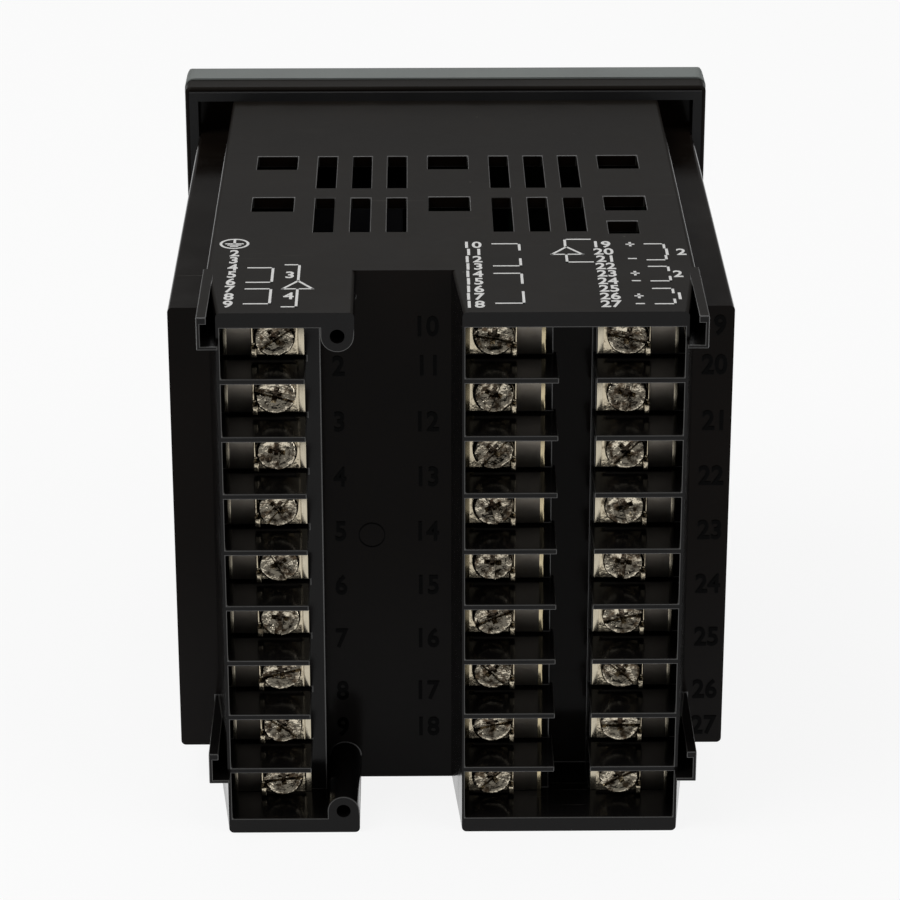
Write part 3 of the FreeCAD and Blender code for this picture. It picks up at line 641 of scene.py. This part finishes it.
@dataclass
class Lettering:
    """Text and ruled lines that stand a hair above one face."""

    side: Side
    level: float
    thick: float = 0.03 * MM
    stroke: float = 0.42 * MM
    digit_share: float = 0.73

    def __post_init__(self) -> None:
        """Start with nothing drawn."""
        self.parts: list[bpy.types.Object] = []

    def _lay(self, item: bpy.types.Object, centre: Vector) -> None:
        """Turn a flat piece on to the face, with its middle at the given place."""
        item.matrix_world = Matrix.Translation(centre) @ self.side.value.to_4x4()
        self.parts.append(settle(item))

    def point(self, across: float, along: float) -> Vector:
        """A place on the face from its two coordinates, in metres."""
        if self.side is Side.TOP:
            return Vector((across, along, self.level))
        return Vector((across, self.level, along))

    def text(self, words: str, across: float, along: float, height: float, squeeze: float = 0.8,
             weight: float = 0.0) -> None:
        """Write a line of text about a centre.

        Args:
            words: What it says.
            across: X of its middle.
            along: The other coordinate of its middle.
            height: Height of its digits.
            squeeze: Width of the letters against the plain font.
            weight: Extra stroke width as a share of the height.
        """
        bpy.ops.object.text_add()
        item = bpy.context.object
        item.name = "letters"
        font = item.data
        font.body = words
        font.align_x, font.align_y = "CENTER", "CENTER"
        font.size = height / self.digit_share
        font.extrude = self.thick / 2
        font.offset = weight * height
        font.resolution_u = 3
        select(item)
        bpy.ops.object.convert(target="MESH")
        item = bpy.context.object
        item.scale = (squeeze, 1, 1)
        settle(item)
        corners = [Vector(corner) for corner in item.bound_box]
        middle = (corners[0] + corners[6]) / 2
        item.data.transform(Matrix.Translation(-middle))
        self._lay(item, self.point(across, along))

    def rule(self, start: Sequence[float], end: Sequence[float], width: float | None = None) -> None:
        """Draw a straight line between two places on the face."""
        width = width or self.stroke
        first, last = self.point(*start), self.point(*end)
        flat = self.side.value.inverted() @ (last - first)
        long = flat.length + width
        bpy.ops.mesh.primitive_cube_add(size=1)
        item = bpy.context.object
        item.name, item.scale = "rule", (long, width, self.thick)
        settle(item)
        item.data.transform(Matrix.Rotation(math.atan2(flat.y, flat.x), 4, "Z"))
        self._lay(item, (first + last) / 2)

    def path(self, *places: Sequence[float]) -> None:
        """Draw straight lines through several places."""
        for start, end in zip(places, places[1:]):
            self.rule(start, end)

    def ring(self, across: float, along: float, radius: float, width: float) -> None:
        """Draw a circle."""
        bpy.ops.mesh.primitive_circle_add(vertices=48, radius=radius - width / 2, fill_type="NOTHING")
        item = bpy.context.object
        item.name = "ring"
        edit(item, lambda edge: True, "edges")
        bpy.ops.mesh.extrude_edges_move()
        grow = (radius + width / 2) / (radius - width / 2)
        bpy.ops.transform.resize(value=(grow, grow, 1))
        bpy.ops.mesh.select_all(action="SELECT")
        bpy.ops.mesh.normals_make_consistent(inside=False)
        leave()
        modify(item, "SOLIDIFY", thickness=self.thick, offset=0.0)
        self._lay(item, self.point(across, along))

    def done(self, name: str) -> bpy.types.Object:
        """Join all that was drawn into one piece."""
        return join(name, self.parts)


# ---------------------------------------------------------------- sub-assemblies

@dataclass
class Case:
    """The one-piece moulded case, with its numerals."""

    edge: float = 0.15 * MM
    edge_start: float = -1.0 * MM
    cells_start: float = 89.6 * MM
    panel_slack: float = 0.3 * MM
    numeral_high: float = 3.4 * MM
    numeral_middle: float = 89.45 * MM
    numeral_thick: float = 0.2 * MM
    numeral_limit: float = 35.8 * MM
    numeral_squeeze: float = 0.9
    numeral_weight: float = 0.03
    numeral_columns: tuple[tuple[int, float], ...] = ((1, 18.1 * MM), (10, 3.7 * MM), (19, -42.3 * MM))
    ring_place: tuple[float, float] = (13.0 * MM, -0.7 * MM)
    ring_radius: float = 2.1 * MM
    ring_line: float = 0.15 * MM

    def build(self) -> None:
        """Ease the case's edges, give it its finishes and mould the terminal numerals."""
        item = eased_copy("case", self.edge, self.edge_start)
        eased = [face.material_index == 1 for face in item.data.polygons]
        dress(item, Look.CASE, "case")
        order = (Look.CASE, Look.CELLS, Look.TOP, Look.EDGE)
        for look in order[1:]:
            item.data.materials.append(look.material())
        roof = panel_top() - self.panel_slack
        for face, edge in zip(item.data.polygons, eased):
            # eased edges take the painted-highlight finish
            look = Look.EDGE if edge else Look.TOP if face.center.z > roof else self._wall(face.center.y)
            face.material_index = order.index(look)
        LOG.info("case: %d faces", len(item.data.polygons))
        self._numerals()

    def _wall(self, depth: float) -> Look:
        """The finish of a wall at one Y: the walls behind the terminals are polished."""
        return Look.CELLS if depth > self.cells_start else Look.CASE

    def _numerals(self) -> None:
        """Mould raised numbers beside the terminal columns, sunk a little into the wall."""
        marks = Lettering(Side.REAR, self.numeral_middle, self.numeral_thick)
        for first, across in self.numeral_columns:
            for row in range(ROWS):
                height = max(-self.numeral_limit, min(self.numeral_limit, row_height(row)))
                marks.text(str(first + row), across, height, self.numeral_high, self.numeral_squeeze,
                           self.numeral_weight)
        marks.ring(*self.ring_place, self.ring_radius, self.ring_line)
        dress(marks.done("moulded_numerals"), Look.MARK)


def panel_top() -> float:
    """Height of the flat top of the case behind the flange, from the case's own corners."""
    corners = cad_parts["case"].data.vertices
    return max(corner.co.z for corner in corners if corner.co.y > PANEL_START)


def row_height(row: int) -> float:
    """Height of the middle of a terminal, counted from the top, from the screws' own places."""
    low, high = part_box("terminal_screws_1_to_9")
    head = (high.x - low.x) / 2
    first, last = high.z - head, low.z + head
    return first + (last - first) * row / (ROWS - 1)


def row_places() -> list[Matrix]:
    """Moves from height 0 to the middle of each terminal in a column."""
    return [Matrix.Translation((0, 0, row_height(row))) for row in range(ROWS)]


@dataclass(frozen=True)
class Bracket:
    """A printed bracket, in millimetres.

    Outer and inner are X of its open ends and of its upright, first and last are Y of its arms, and the gap is
    where the upright is broken for a symbol.
    """

    outer: float
    inner: float
    first: float
    last: float
    gap: tuple[float, float] | None = None

    def paths(self) -> list[Path]:
        """The lines that it is drawn with."""
        start, end = (self.outer, self.first), (self.outer, self.last)
        if self.gap is None:
            return [(start, (self.inner, self.first), (self.inner, self.last), end)]
        return [(start, (self.inner, self.first), (self.inner, self.gap[0])),
                ((self.inner, self.gap[1]), (self.inner, self.last), end)]


@dataclass
class TopPrint:
    """The white print on the top of the case: terminal numbers, brackets and relay symbols.

    Rows lie behind one another, each beside its terminal's number. Places are in millimetres.
    """

    columns: tuple[tuple[int, float, float, float], ...] = (  # first number, X, Y of the first and last row
        (1, 34.75, 77.7, 104.6), (10, -3.7, 77.45, 105.1), (19, -24.6, 77.45, 105.1))
    brackets: tuple[Bracket, ...] = (
        Bracket(32.2, 28.3, 88.06, 94.8), Bracket(32.2, 28.3, 97.8, 104.5),
        Bracket(26.3, 24.15, 86.7, 105.9, (94.2, 97.85)),
        Bracket(-6.85, -11.1, 77.0, 87.6, (80.0, 84.3)), Bracket(-6.85, -11.1, 91.1, 104.7, (95.7, 99.6)),
        Bracket(-22.6, -18.55, 74.95, 85.9, (78.6, 82.2)),
        Bracket(-31.5, -34.5, 77.3, 85.0, (79.3, 83.0)), Bracket(-31.5, -34.5, 88.1, 94.85, (90.1, 92.85)),
        Bracket(-31.5, -34.5, 98.3, 105.2, (100.3, 103.2)))
    relays: tuple[tuple[float, float, float, float], ...] = (  # X, Y of the tip and of the base, half its width
        (24.15, 94.2, 97.85, 2.35), (-18.7, 78.6, 82.2, 2.45))
    words: tuple[tuple[str, float, float], ...] = (
        ("3", 25.55, 91.4), ("4", 25.45, 101.0), ("1", -34.8, 81.2), ("2", -37.1, 81.2), ("2", -35.85, 91.6),
        ("1", -35.4, 101.7))
    earth: tuple[float, float] = (34.98, 76.54)
    earth_radius: float = 2.2
    earth_stem: float = 1.75
    earth_bars: tuple[float, ...] = (1.3, 0.9, 0.45)
    earth_pitch: float = 0.62
    sign_across: float = -29.07
    sign_arm: float = 0.5
    sign_upright: float = 0.8
    minus_rows: tuple[int, ...] = (2, 5, 8)
    plus_rows: tuple[int, ...] = (0, 4, 7)
    digit_high: float = 3.0
    squeeze: float = 0.8
    weight: float = 0.03
    lift: float = 0.02

    def build(self) -> None:
        """Draw every group of the print and join it."""
        self.ink = Lettering(Side.TOP, panel_top() + self.lift * MM)
        self._numbers()
        self._earth()
        self._signs()
        for bracket in self.brackets:
            for path in bracket.paths():
                self._trace(*path)
        for across, tip, base, half in self.relays:
            self._trace((across, tip), (across + half, base), (across - half, base), (across, tip))
        for words, across, along in self.words:
            self._write(words, across, along)
        dress(self.ink.done("top_print"), Look.INK)
        LOG.info("top print: %d pieces", len(self.ink.parts))

    def _row(self, column: int, row: int) -> float:
        """Y of a row of one column, counted from 0."""
        first, last = self.columns[column][2:]
        return first + (last - first) * row / (ROWS - 1)

    def _write(self, words: str, across: float, along: float) -> None:
        """Write one number about its middle."""
        self.ink.text(words, across * MM, along * MM, self.digit_high * MM, self.squeeze, self.weight)

    def _trace(self, *places: Sequence[float]) -> None:
        """Draw straight lines through several places."""
        self.ink.path(*[(across * MM, along * MM) for across, along in places])

    def _numbers(self) -> None:
        """Terminal numbers; the first terminal has the earth symbol in place of one."""
        for column, (first, across, *_) in enumerate(self.columns):
            for row in range(ROWS):
                if first + row > 1:
                    self._write(str(first + row), across, self._row(column, row))

    def _earth(self) -> None:
        """A stem and three bars in a circle."""
        across, along = self.earth
        self.ink.ring(across * MM, along * MM, self.earth_radius * MM, self.ink.stroke)
        self._trace((across, along - self.earth_stem), (across, along))
        for number, half in enumerate(self.earth_bars):
            line = along + number * self.earth_pitch
            self._trace((across - half, line), (across + half, line))

    def _signs(self) -> None:
        """Plus and minus signs beside the last column."""
        across, arm, upright = self.sign_across, self.sign_arm, self.sign_upright
        for row in sorted(self.minus_rows + self.plus_rows):
            line = self._row(-1, row)
            self._trace((across - arm, line), (across + arm, line))
            if row in self.plus_rows:
                self._trace((across, line - upright), (across, line + upright))


@dataclass
class Column:
    """One column of nine terminals."""

    numbers: str
    outward: int
    strip: Look

    def node(self, kind: str) -> str:
        """The CAD node of one kind of piece in this column."""
        return f"{kind}_{self.numbers}"

    def sides(self, kind: str) -> tuple[float, float]:
        """X of the outer and inner sides of one kind of piece."""
        low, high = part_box(self.node(kind))
        return (high.x, low.x) if self.outward > 0 else (low.x, high.x)

    def half(self, kind: str) -> float:
        """Half the height of a single piece of one kind."""
        low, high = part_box(self.node(kind))
        pitch = row_height(0) - row_height(1)
        return (high.z - low.z - pitch * (ROWS - 1)) / 2

    def repeat(self, one: bpy.types.Object, kind: str, places: Sequence[Matrix]) -> bpy.types.Object:
        """One piece with a copy of another at every place."""
        return join(f"{kind}_{self.numbers}", [clone(one, place) for place in places])


@dataclass
class Terminals:
    """Plates, clamps and screws of the three columns."""

    columns: tuple[Column, ...] = (Column("1_to_9", 1, Look.STRIP), Column("10_to_18", -1, Look.STRIP_WARM),
                                   Column("19_to_27", -1, Look.STRIP))
    plate_roll: float = 0.3 * MM
    plate_ease: float = 0.08 * MM
    strip_outer: float = 0.75 * MM
    strip_inner: float = 1.65 * MM
    washer_thick: float = 0.8 * MM
    lug_wide: float = 1.6 * MM
    lug_deep: float = 0.85 * MM
    lug_root: float = 0.1 * MM
    rim_start: float = 2.0 * MM
    rim_deep: float = 0.35 * MM
    rim_rise: float = 0.5 * MM
    clamp_voxel: float = 0.14 * MM
    clamp_keep: float = 0.12
    head_round: float = 0.75 * MM
    head_ease: float = 0.09 * MM
    dish_rim: float = 0.55 * MM
    dish_deep: float = 0.4 * MM
    dish_shares: tuple[float, float] = (0.35, 0.65)
    slot_wide: float = 1.15 * MM
    slot_deep: float = 1.2 * MM
    cross_wide: float = 1.1 * MM
    cross_long: float = 4.2 * MM
    cross_deep: float = 1.7 * MM
    cross_taper: tuple[float, float, float] = (0.35, 1.0, 0.55)
    shank_radius: float = 1.6 * MM
    shank_long: float = 5.6 * MM
    shank_middle: float = -2.7 * MM
    turns: tuple[int, ...] = (20, 75, -35, 50, 5, -60, 35, 80, -15)
    stray: float = 8.0

    def build(self) -> None:
        """Make one of each piece and copy it along every column."""
        rng = random.Random(RNG_SEED)
        for column in self.columns:
            self._plates(column)
            self._clamps(column)
        self._screws(rng)

    def _seat(self) -> float:
        """Y of the rear of the clamp plates, on which the screws' heads bear."""
        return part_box("terminal_plates_1_to_9")[1].y + self.washer_thick

    def _plates(self, column: Column) -> None:
        """Terminal plates: a dull flat between two bright strips, with the ends rolled over."""
        low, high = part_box(column.node("terminal_plates"))
        outer, inner = column.sides("terminal_plates")
        half = column.half("terminal_plates")
        one = cube("plate", (low.x, low.y, -half), (high.x, high.y, half))
        folds = (outer - column.outward * self.strip_outer, inner + column.outward * self.strip_inner)
        for fold in folds:
            edit(one, lambda face: True)
            bpy.ops.mesh.bisect(plane_co=(fold, 0, 0), plane_no=(1, 0, 0))
            leave()
        rear = high.y - 1e-6
        edit(one, lambda edge: all(v.co.y > rear and abs(v.co.x - outer) < 1e-6 for v in edge.verts), "edges")
        bpy.ops.mesh.bevel(offset=self.plate_roll, segments=4, profile=0.5)
        leave()
        ease(one, self.plate_ease, 40.0)
        smooth(one, 40.0)
        piece = column.repeat(one, "plates", row_places())
        drop(one)
        dress(piece, Look.PLATE, column.node("terminal_plates"))
        # the strips take a lighter colour than the flat of the same nickel: painted highlight on the strips,
        # painted dark reflection on the flat
        piece.data.materials.append(column.strip.material())
        for face in piece.data.polygons:
            face.material_index = int(not min(folds) < face.center.x < max(folds))
        LOG.info("plates %s: %d faces", column.numbers, len(piece.data.polygons))

    def _clamps(self, column: Column) -> None:
        """Clamp plates: a square washer with an upturned outer edge and two small lugs."""
        low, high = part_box(column.node("clamp_plates"))
        outer, inner = column.sides("clamp_plates")
        half = column.half("clamp_plates")
        plate_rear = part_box(column.node("terminal_plates"))[1].y
        washer = plate_rear + self.washer_thick
        parts = [cube("clamp", (low.x, plate_rear, -half), (high.x, washer, half))]
        for side, deep, tall, bottom, top in (
                (outer, -self.lug_deep, high.y, -half, -half + self.lug_wide),
                (inner, self.lug_deep, high.y, half - self.lug_wide, half),
                (outer, -self.rim_deep, washer + self.rim_rise, -half + self.rim_start, half)):
            first, last = sorted((side, side + column.outward * deep))
            parts.append(cube("lug", (first, plate_rear + self.lug_root, bottom), (last, tall, top)))
        one = join("clamp", parts)
        modify(one, "REMESH", mode="VOXEL", voxel_size=self.clamp_voxel)
        modify(one, "DECIMATE", ratio=self.clamp_keep)
        smooth(one, 50.0)
        piece = column.repeat(one, "clamps", row_places())
        drop(one)
        dress(piece, Look.CLAMP, column.node("clamp_plates"))
        LOG.info("clamps %s: %d faces", column.numbers, len(piece.data.polygons))

    def _head(self) -> bpy.types.Object:
        """One combination-head screw at the origin: shank forward, head to +Y, its seat at Y 0."""
        low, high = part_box("terminal_screws_1_to_9")
        radius = (high.x - low.x) / 2
        tall = high.y - self._seat()
        head = drum("head", tall / 2, radius, tall, 48)
        edit(head, lambda edge: all(v.co.y > tall - 1e-6 for v in edge.verts), "edges")
        bpy.ops.mesh.bevel(offset=self.head_round, segments=5, profile=0.55)
        leave()
        for share in self.dish_shares:
            edit(head, lambda face: face.normal.y > 0.99)
            bpy.ops.mesh.inset(thickness=self.dish_rim)
            bpy.ops.transform.translate(value=(0, -self.dish_deep * share, 0))
            leave()
        slot = cube("slot", (-radius * 1.2, tall - self.slot_deep, -self.slot_wide / 2),
                    (radius * 1.2, tall + MM, self.slot_wide / 2))
        arms = []
        for turn in (0, 90):
            arm = cube("arm", (-self.cross_long / 2, tall - self.cross_deep, -self.cross_wide / 2),
                       (self.cross_long / 2, tall + MM, self.cross_wide / 2))
            edit(arm, lambda face: face.normal.y < -0.5)
            bpy.ops.transform.resize(value=self.cross_taper)
            leave()
            arm.data.transform(Matrix.Rotation(math.radians(turn), 4, "Y"))
            arms.append(arm)
        for cutter in (slot, *arms):
            modify(head, "BOOLEAN", operation="DIFFERENCE", object=cutter, solver="EXACT")
            drop(cutter)
        ease(head, self.head_ease, 35.0)
        shank = drum("shank", self.shank_middle, self.shank_radius, self.shank_long, 20)
        screw = join("screw", [head, shank])
        smooth(screw, 38.0)
        return screw

    def _screws(self, rng: random.Random) -> None:
        """The screws, each driven to its own angle."""
        one = self._head()
        for column in self.columns:
            low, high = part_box(column.node("terminal_screws"))
            across = (low.x + high.x) / 2
            places = []
            for row in range(ROWS):
                turn = self.turns[(row * 2 + len(column.numbers)) % ROWS]
                turn += rng.uniform(-self.stray, self.stray)
                places.append(Matrix.Translation((across, self._seat(), row_height(row)))
                              @ Matrix.Rotation(math.radians(turn), 4, "Y"))
            piece = column.repeat(one, "screws", places)
            dress(piece, Look.SCREW, column.node("terminal_screws"))
            LOG.info("screws %s: %d faces", column.numbers, len(piece.data.polygons))
        drop(one)


@dataclass(frozen=True)
class Digits:
    """A row of four unlit digits: Z of its middle, and the height and width of one, in metres."""

    middle: float
    high: float
    wide: float


@dataclass
class Front:
    """Bezel, lens and keys, with the marks on them. Key symbols are paths of (X, Z) in millimetres."""

    edge: float = 0.12 * MM
    lift: float = 0.006 * MM
    mark_thick: float = 0.008 * MM
    digits: tuple[Digits, ...] = (Digits(26.5 * MM, 13.0 * MM, 7.4 * MM),
                                  Digits(10.0 * MM, 8.0 * MM, 4.8 * MM))
    digit_count: int = 4
    digit_pitch: float = 1.75
    segment_share: float = 0.11
    segment_gap: float = 0.02
    lamp_count: int = 4
    lamp_inset: float = 1.5 * MM
    lamp_first: float = 9.0 * MM
    lamp_pitch: float = 7.0 * MM
    lamp_half: float = 0.6 * MM
    lamp_high: float = 1.6 * MM
    symbol_thick: float = 0.01 * MM
    symbol_stroke: float = 0.4 * MM
    symbols: tuple[tuple[str, tuple[Path, ...]], ...] = (
        ("upper_1", (((-1.5, 0), (1.5, 0)),)),
        ("upper_2", (((-1.5, 0.6), (1.5, 0.6)), ((-1.5, -0.6), (1.5, -0.6)))),
        ("upper_3", (((-1.2, -1.0), (1.2, -1.0), (1.2, 1.0), (-1.2, 1.0), (-1.2, -1.0)),)),
        ("upper_4", (((0, -1.2), (0, 1.2)), ((-1.2, 0), (1.2, 0)))),
        ("lower_1", (((-1.2, -0.9), (1.2, -0.9), (0, 1.2), (-1.2, -0.9)),)),
        ("lower_2", (((-1.2, 0.9), (1.2, 0.9), (0, -1.2), (-1.2, 0.9)),)),
        ("lower_3", (((0.9, -1.2), (0.9, 1.2), (-1.2, 0), (0.9, -1.2)),)),
        ("lower_4", (((-0.9, -1.2), (-0.9, 1.2), (1.2, 0), (-0.9, -1.2)),)),
    )

    def build(self) -> None:
        """Dress the front and print its legends."""
        dress(eased_copy("bezel", self.edge), Look.BEZEL, "bezel")
        redress(Look.LENS, "display_window")
        redress(Look.CAP, "screw_cap")
        self._segments()
        self._legends()
        LOG.info("front: bezel, lens and legends")

    def _segments(self) -> None:
        """Unlit segments and lamps that show faintly through the lens."""
        marks = Lettering(Side.FRONT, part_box("display_window")[0].y - self.lift, self.mark_thick)
        for row in self.digits:
            for place in range(self.digit_count):
                self._digit(marks, row, (place - (self.digit_count - 1) / 2) * row.wide * self.digit_pitch)
        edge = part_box("indicator_leds")[1].x
        for side in (-1, 1):
            across = side * (edge - self.lamp_inset)
            for number in range(self.lamp_count):
                height = self.lamp_first + self.lamp_pitch * number
                marks.rule((across - self.lamp_half, height), (across + self.lamp_half, height), self.lamp_high)
        dress(marks.done("unlit_segments"), Look.SEGMENT)

    def _digit(self, marks: Lettering, row: Digits, centre: float) -> None:
        """The seven segments of one digit about an X."""
        stroke, gap = row.high * self.segment_share, row.high * self.segment_gap
        half, reach = row.wide / 2, row.high / 2
        for level in (row.middle - reach, row.middle, row.middle + reach):
            marks.rule((centre - half + stroke, level), (centre + half - stroke, level), stroke)
        for across in (centre - half, centre + half):
            for sign in (-1, 1):
                marks.rule((across, row.middle + sign * (stroke + gap)),
                           (across, row.middle + sign * (reach - stroke - gap)), stroke)

    def _legends(self) -> None:
        """Plain symbols on the keys, which travel with them."""
        for key, paths in self.symbols:
            name = f"key_{key}"
            low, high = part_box(name)
            centre = (low + high) / 2
            ink = Lettering(Side.FRONT, low.y, self.symbol_thick, self.symbol_stroke)
            for path in paths:
                ink.path(*[(centre.x + x * MM, centre.z + z * MM) for x, z in path])
            dress(ink.done(f"legend_{key}"), Look.LEGEND, body=f"{name}_body")
            redress(Look.KEY, name)


@dataclass
class Inside:
    """Seals, fasteners, boards and components, which keep their CAD meshes."""

    looks: tuple[tuple[Look, tuple[str, ...]], ...] = (
        (Look.SEAL, ("panel_gasket", "bezel_gasket")),
        (Look.FASTENER, ("chassis_screw", "board_screws")),
        (Look.BOARD, ("display_board", "power_board", "output_board", "input_board")),
        (Look.DISPLAY, ("upper_display", "lower_display")),
        (Look.LED, ("indicator_leds",)),
        (Look.SWITCH, ("key_switches",)),
        (Look.CONNECTOR, ("board_headers", "edge_connectors")),
        (Look.TRANSFORMER, ("transformer",)),
        (Look.RELAY, ("relays",)),
        (Look.CAN, ("capacitors",)),
        (Look.CHIP, ("processor_chips",)),
    )

    def build(self) -> None:
        """Give each node its finish."""
        for look, nodes in self.looks:
            redress(look, *nodes)
            LOG.info("%s: %s", look.name.lower(), ", ".join(nodes))


# ---------------------------------------------------------------- studio

@dataclass
class Lamp:
    """One soft box."""

    name: str
    place: Place
    wide: float
    watts: float
    aim: Place = (0.0, 0.05, 0.0)

    def build(self) -> None:
        """Hang the lamp and aim it at the part."""
        data = bpy.data.lights.new(self.name, "AREA")
        data.shape, data.size, data.energy = "SQUARE", self.wide, self.watts
        item = bpy.data.objects.new(self.name, data)
        bpy.context.scene.collection.objects.link(item)
        item.location = self.place
        item.rotation_euler = (Vector(self.aim) - Vector(self.place)).to_track_quat("-Z", "Y").to_euler()


@dataclass
class Studio:
    """Camera, lamps, world and a pale floor that the part stands on."""

    camera_place: Place = (0.00577, 0.60984, 0.23250)
    camera_aim: Place = (-0.01063, -0.92316, -0.38427)
    lens: float = 139.24
    sensor: float = 36.0
    shift: tuple[float, float] = (-0.0030, -0.0097)
    foot_low: float = -45.3 * MM
    foot_back: float = 108.6 * MM
    floor_size: float = 8.0
    floor_colour: Colour = (0.9, 0.9, 0.9)
    floor_shade: Colour = (0.86, 0.86, 0.86)
    floor_white: float = 0.88
    world: float = 0.21
    lamps: tuple[Lamp, ...] = (
        Lamp("key_lamp", (0.75, 0.35, 1.15), 0.9, 9.0),
        Lamp("fill_lamp", (-0.95, 0.55, 0.85), 0.9, 4.8),
        Lamp("back_lamp", (0.1, -0.95, 1.0), 0.9, 3.8),
    )

    def build(self) -> None:
        """Set up the whole studio."""
        self._camera()
        self._floor()
        self._world()
        for lamp in self.lamps:
            lamp.build()
        bpy.context.scene.view_settings.view_transform = "Standard"
        LOG.info("studio: %d lamps", len(self.lamps))

    def _camera(self) -> None:
        """The camera at the rear, above the terminals."""
        data = bpy.data.cameras.new("camera")
        data.lens, data.sensor_width = self.lens, self.sensor
        data.shift_x, data.shift_y = self.shift
        item = bpy.data.objects.new("camera", data)
        bpy.context.scene.collection.objects.link(item)
        item.location = self.camera_place
        item.rotation_euler = Vector(self.camera_aim).to_track_quat("-Z", "Y").to_euler()
        bpy.context.scene.camera = item

    def _floor(self) -> None:
        """A floor that touches the bezel and the foot of the terminal blocks."""
        bezel_low, bezel_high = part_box("bezel")
        heel = Vector((0, bezel_high.y, bezel_low.z))
        slope = math.atan2(self.foot_low - heel.z, self.foot_back - heel.y)
        bpy.ops.mesh.primitive_plane_add(size=self.floor_size, location=heel, rotation=(slope, 0, 0))
        item = bpy.context.object
        item.name = "floor"
        graph = Graph("pale_floor")
        tone = graph.blend(graph.noise(3.0) * 0.03, self.floor_colour, self.floor_shade)
        paint = graph.node("BsdfPrincipled", None,
                           {"Base Color": tone, "Roughness": 0.85, "Specular IOR Level": 0.1})
        white = graph.node("Emission", None, {"Color": (1.0, 1.0, 1.0), "Strength": 1.0})
        rays = ("Camera", "Glossy", "Transmission")
        seen = sum((graph.node("LightPath", output=f"Is {ray} Ray") for ray in rays), start=0.0)
        share = seen.lower(1.0) * self.floor_white
        graph.close(graph.node("MixShader", None, {0: share, 1: paint, 2: white}))
        item.data.materials.append(graph.material)

    def _world(self) -> None:
        """Even light from everywhere."""
        world = bpy.data.worlds.new("studio_air")
        world.use_nodes = True
        back = world.node_tree.nodes["Background"]
        back.inputs["Color"].default_value = (1, 1, 1, 1)
        back.inputs["Strength"].default_value = self.world
        bpy.context.scene.world = world


def main() -> None:
    """Build everything in order."""
    logging.basicConfig(level=logging.INFO, format="%(name)s: %(message)s")
    for part in (Studio(), Case(), TopPrint(), Terminals(), Front(), Inside()):
        part.build()


if __name__ == "__main__":
    main()
